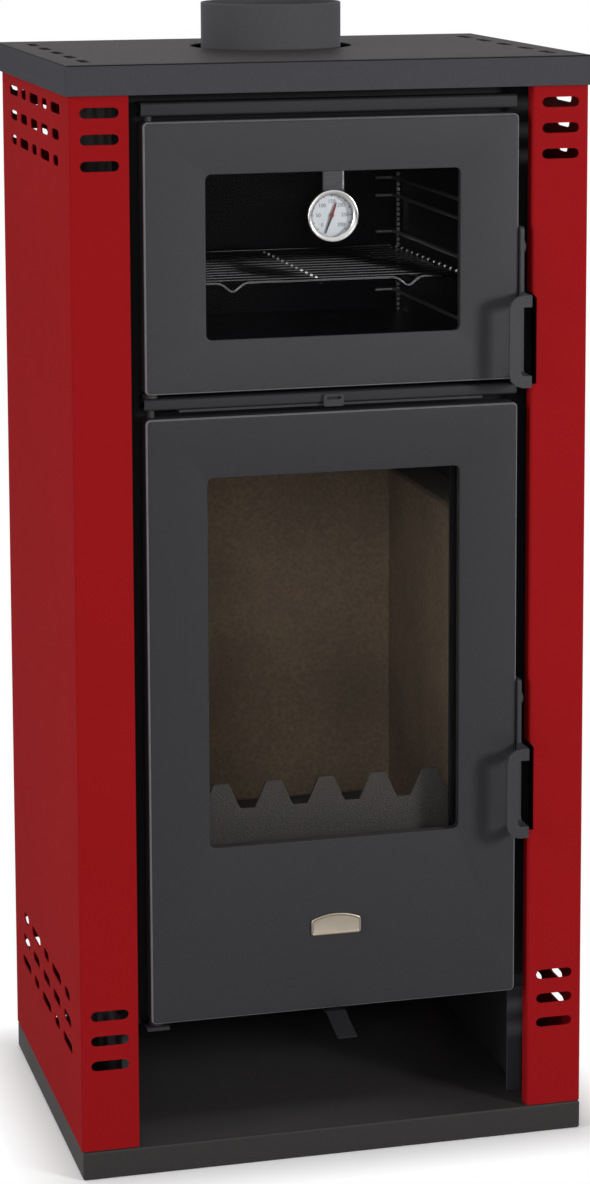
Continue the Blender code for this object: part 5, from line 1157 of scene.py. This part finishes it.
# %% [markdown]
# ## Floor, sky and lamps
#
# A product photograph is lit by big soft boxes. The floor is pale and takes the shadow close to the stove;
# further out it turns to plain white for the camera, as in a cut-out picture. The sky is white where the camera,
# a gloss or a pane sees it, and dimmer where it lights the stove. The key lamp stands far on the right and draws
# the handles' shadows on the doors, a weak one fills from beside the camera, a tall strip lights the left
# casing, a fourth lifts the top plate and a fifth lights the back.

# %% Floor
FLOOR_HALF = 30.0
SHADOW_REACH = 0.055
grid = np.zeros((2, 2, 3))
grid[..., 0] = np.array([-FLOOR_HALF, FLOOR_HALF])[None, :]
grid[..., 1] = np.array([-FLOOR_HALF, FLOOR_HALF])[:, None]
floor = surface("floor", grid)
floor_paint = Finish("studio_floor", (0.9, 0.9, 0.9), 0.9, Specular_IOR_Level=0.0)
seen = floor_paint.add("ShaderNodeLightPath", output="Is Camera Ray")
floor_paint.set("Base Color", floor_paint.mix(seen, (0.72, 0.72, 0.72), (1.0, 1.0, 1.0)))
across, deep = [floor_paint.axis(number) for number in (0, 1)]
low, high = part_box("base_plate")
beside = (across.math("ABSOLUTE") - high.x).math("MAXIMUM", 0.0)
before = ((deep - (low.y + high.y) / 2).math("ABSOLUTE") - (high.y - low.y) / 2).math("MAXIMUM", 0.0)
away = (beside * beside + before * before).math("SQRT") / SHADOW_REACH
fade = away.math("MINIMUM", 1.0).math("MAXIMUM", 0.0) * seen
plain_white = floor_paint.add("ShaderNodeEmission", None, {"Color": (1.0, 1.0, 1.0, 1.0), "Strength": 1.0})
paper = Value(floor_paint, floor_paint.surface.outputs[0])
blend = floor_paint.add("ShaderNodeMixShader", None, {0: fade, 1: paper, 2: plain_white})
floor_paint.feed(floor_paint.tree.nodes["Material Output"].inputs["Surface"], blend)
floor.data.materials.append(floor_paint.material)
print("floor: shadow seen to", round(SHADOW_REACH * 1000), "mm from the stove")

# %% Sky
SKY_LIGHT = 0.20
world = bpy.data.worlds.new("studio")
bpy.context.scene.world = world
world.use_nodes = True
sky = Nodes(world.node_tree)
sky.tree.nodes.remove(sky.tree.nodes["Background"])
camera_ray, glass_ray, gloss_ray = [
    sky.add("ShaderNodeLightPath", output=ray)
    for ray in ("Is Camera Ray", "Is Transmission Ray", "Is Glossy Ray")
]
seen_or_gloss = camera_ray.math("MAXIMUM", glass_ray).math("MAXIMUM", gloss_ray)
dim, white = [
    sky.add("ShaderNodeBackground", None, {"Color": (1.0, 1.0, 1.0, 1.0), "Strength": strength})
    for strength in (SKY_LIGHT, 1.0)
]
blend = sky.add("ShaderNodeMixShader", None, {0: seen_or_gloss, 1: dim, 2: white})
sky.feed(sky.tree.nodes["World Output"].inputs["Surface"], blend)
print("sky strength", SKY_LIGHT, "for light, 1 where it is seen")


# %% Lamps
def soft_box(name, place, target, size, power):
    """Rectangular lamp that faces a point."""
    lamp = bpy.data.lights.new(name, "AREA")
    lamp.shape = "RECTANGLE"
    lamp.size, lamp.size_y = size
    lamp.energy = power
    holder = linked(name, lamp)
    aim = Vector(target) - Vector(place)
    holder.matrix_world = Matrix.Translation(place) @ aim.to_track_quat("-Z", "Y").to_matrix().to_4x4()


# name: place, target, size and power
LAMPS = {
    "front": ((-0.9, -3.1, 1.7), (0.0, 0.0, 0.65), (1.2, 1.2), 16.0),
    "key": ((2.1, -2.4, 1.25), (0.0, 0.0, 0.65), (0.6, 0.6), 68.0),
    "strip": ((-2.7, -0.7, 1.2), (0.0, 0.0, 0.6), (0.4, 2.0), 40.0),
    "top": ((-0.5, 0.4, 2.8), (0.0, 0.0, 0.9), (1.4, 1.2), 17.0),
    "rear": ((0.6, 3.2, 0.52), (0.0, 0.0, 0.50), (1.8, 0.8), 34.0),
}
for name, (place, target, size, power) in LAMPS.items():
    soft_box(name, place, target, size, power)
print("lamps:", len(LAMPS))

# %% View and sizes
bpy.context.scene.view_settings.view_transform = "Standard"
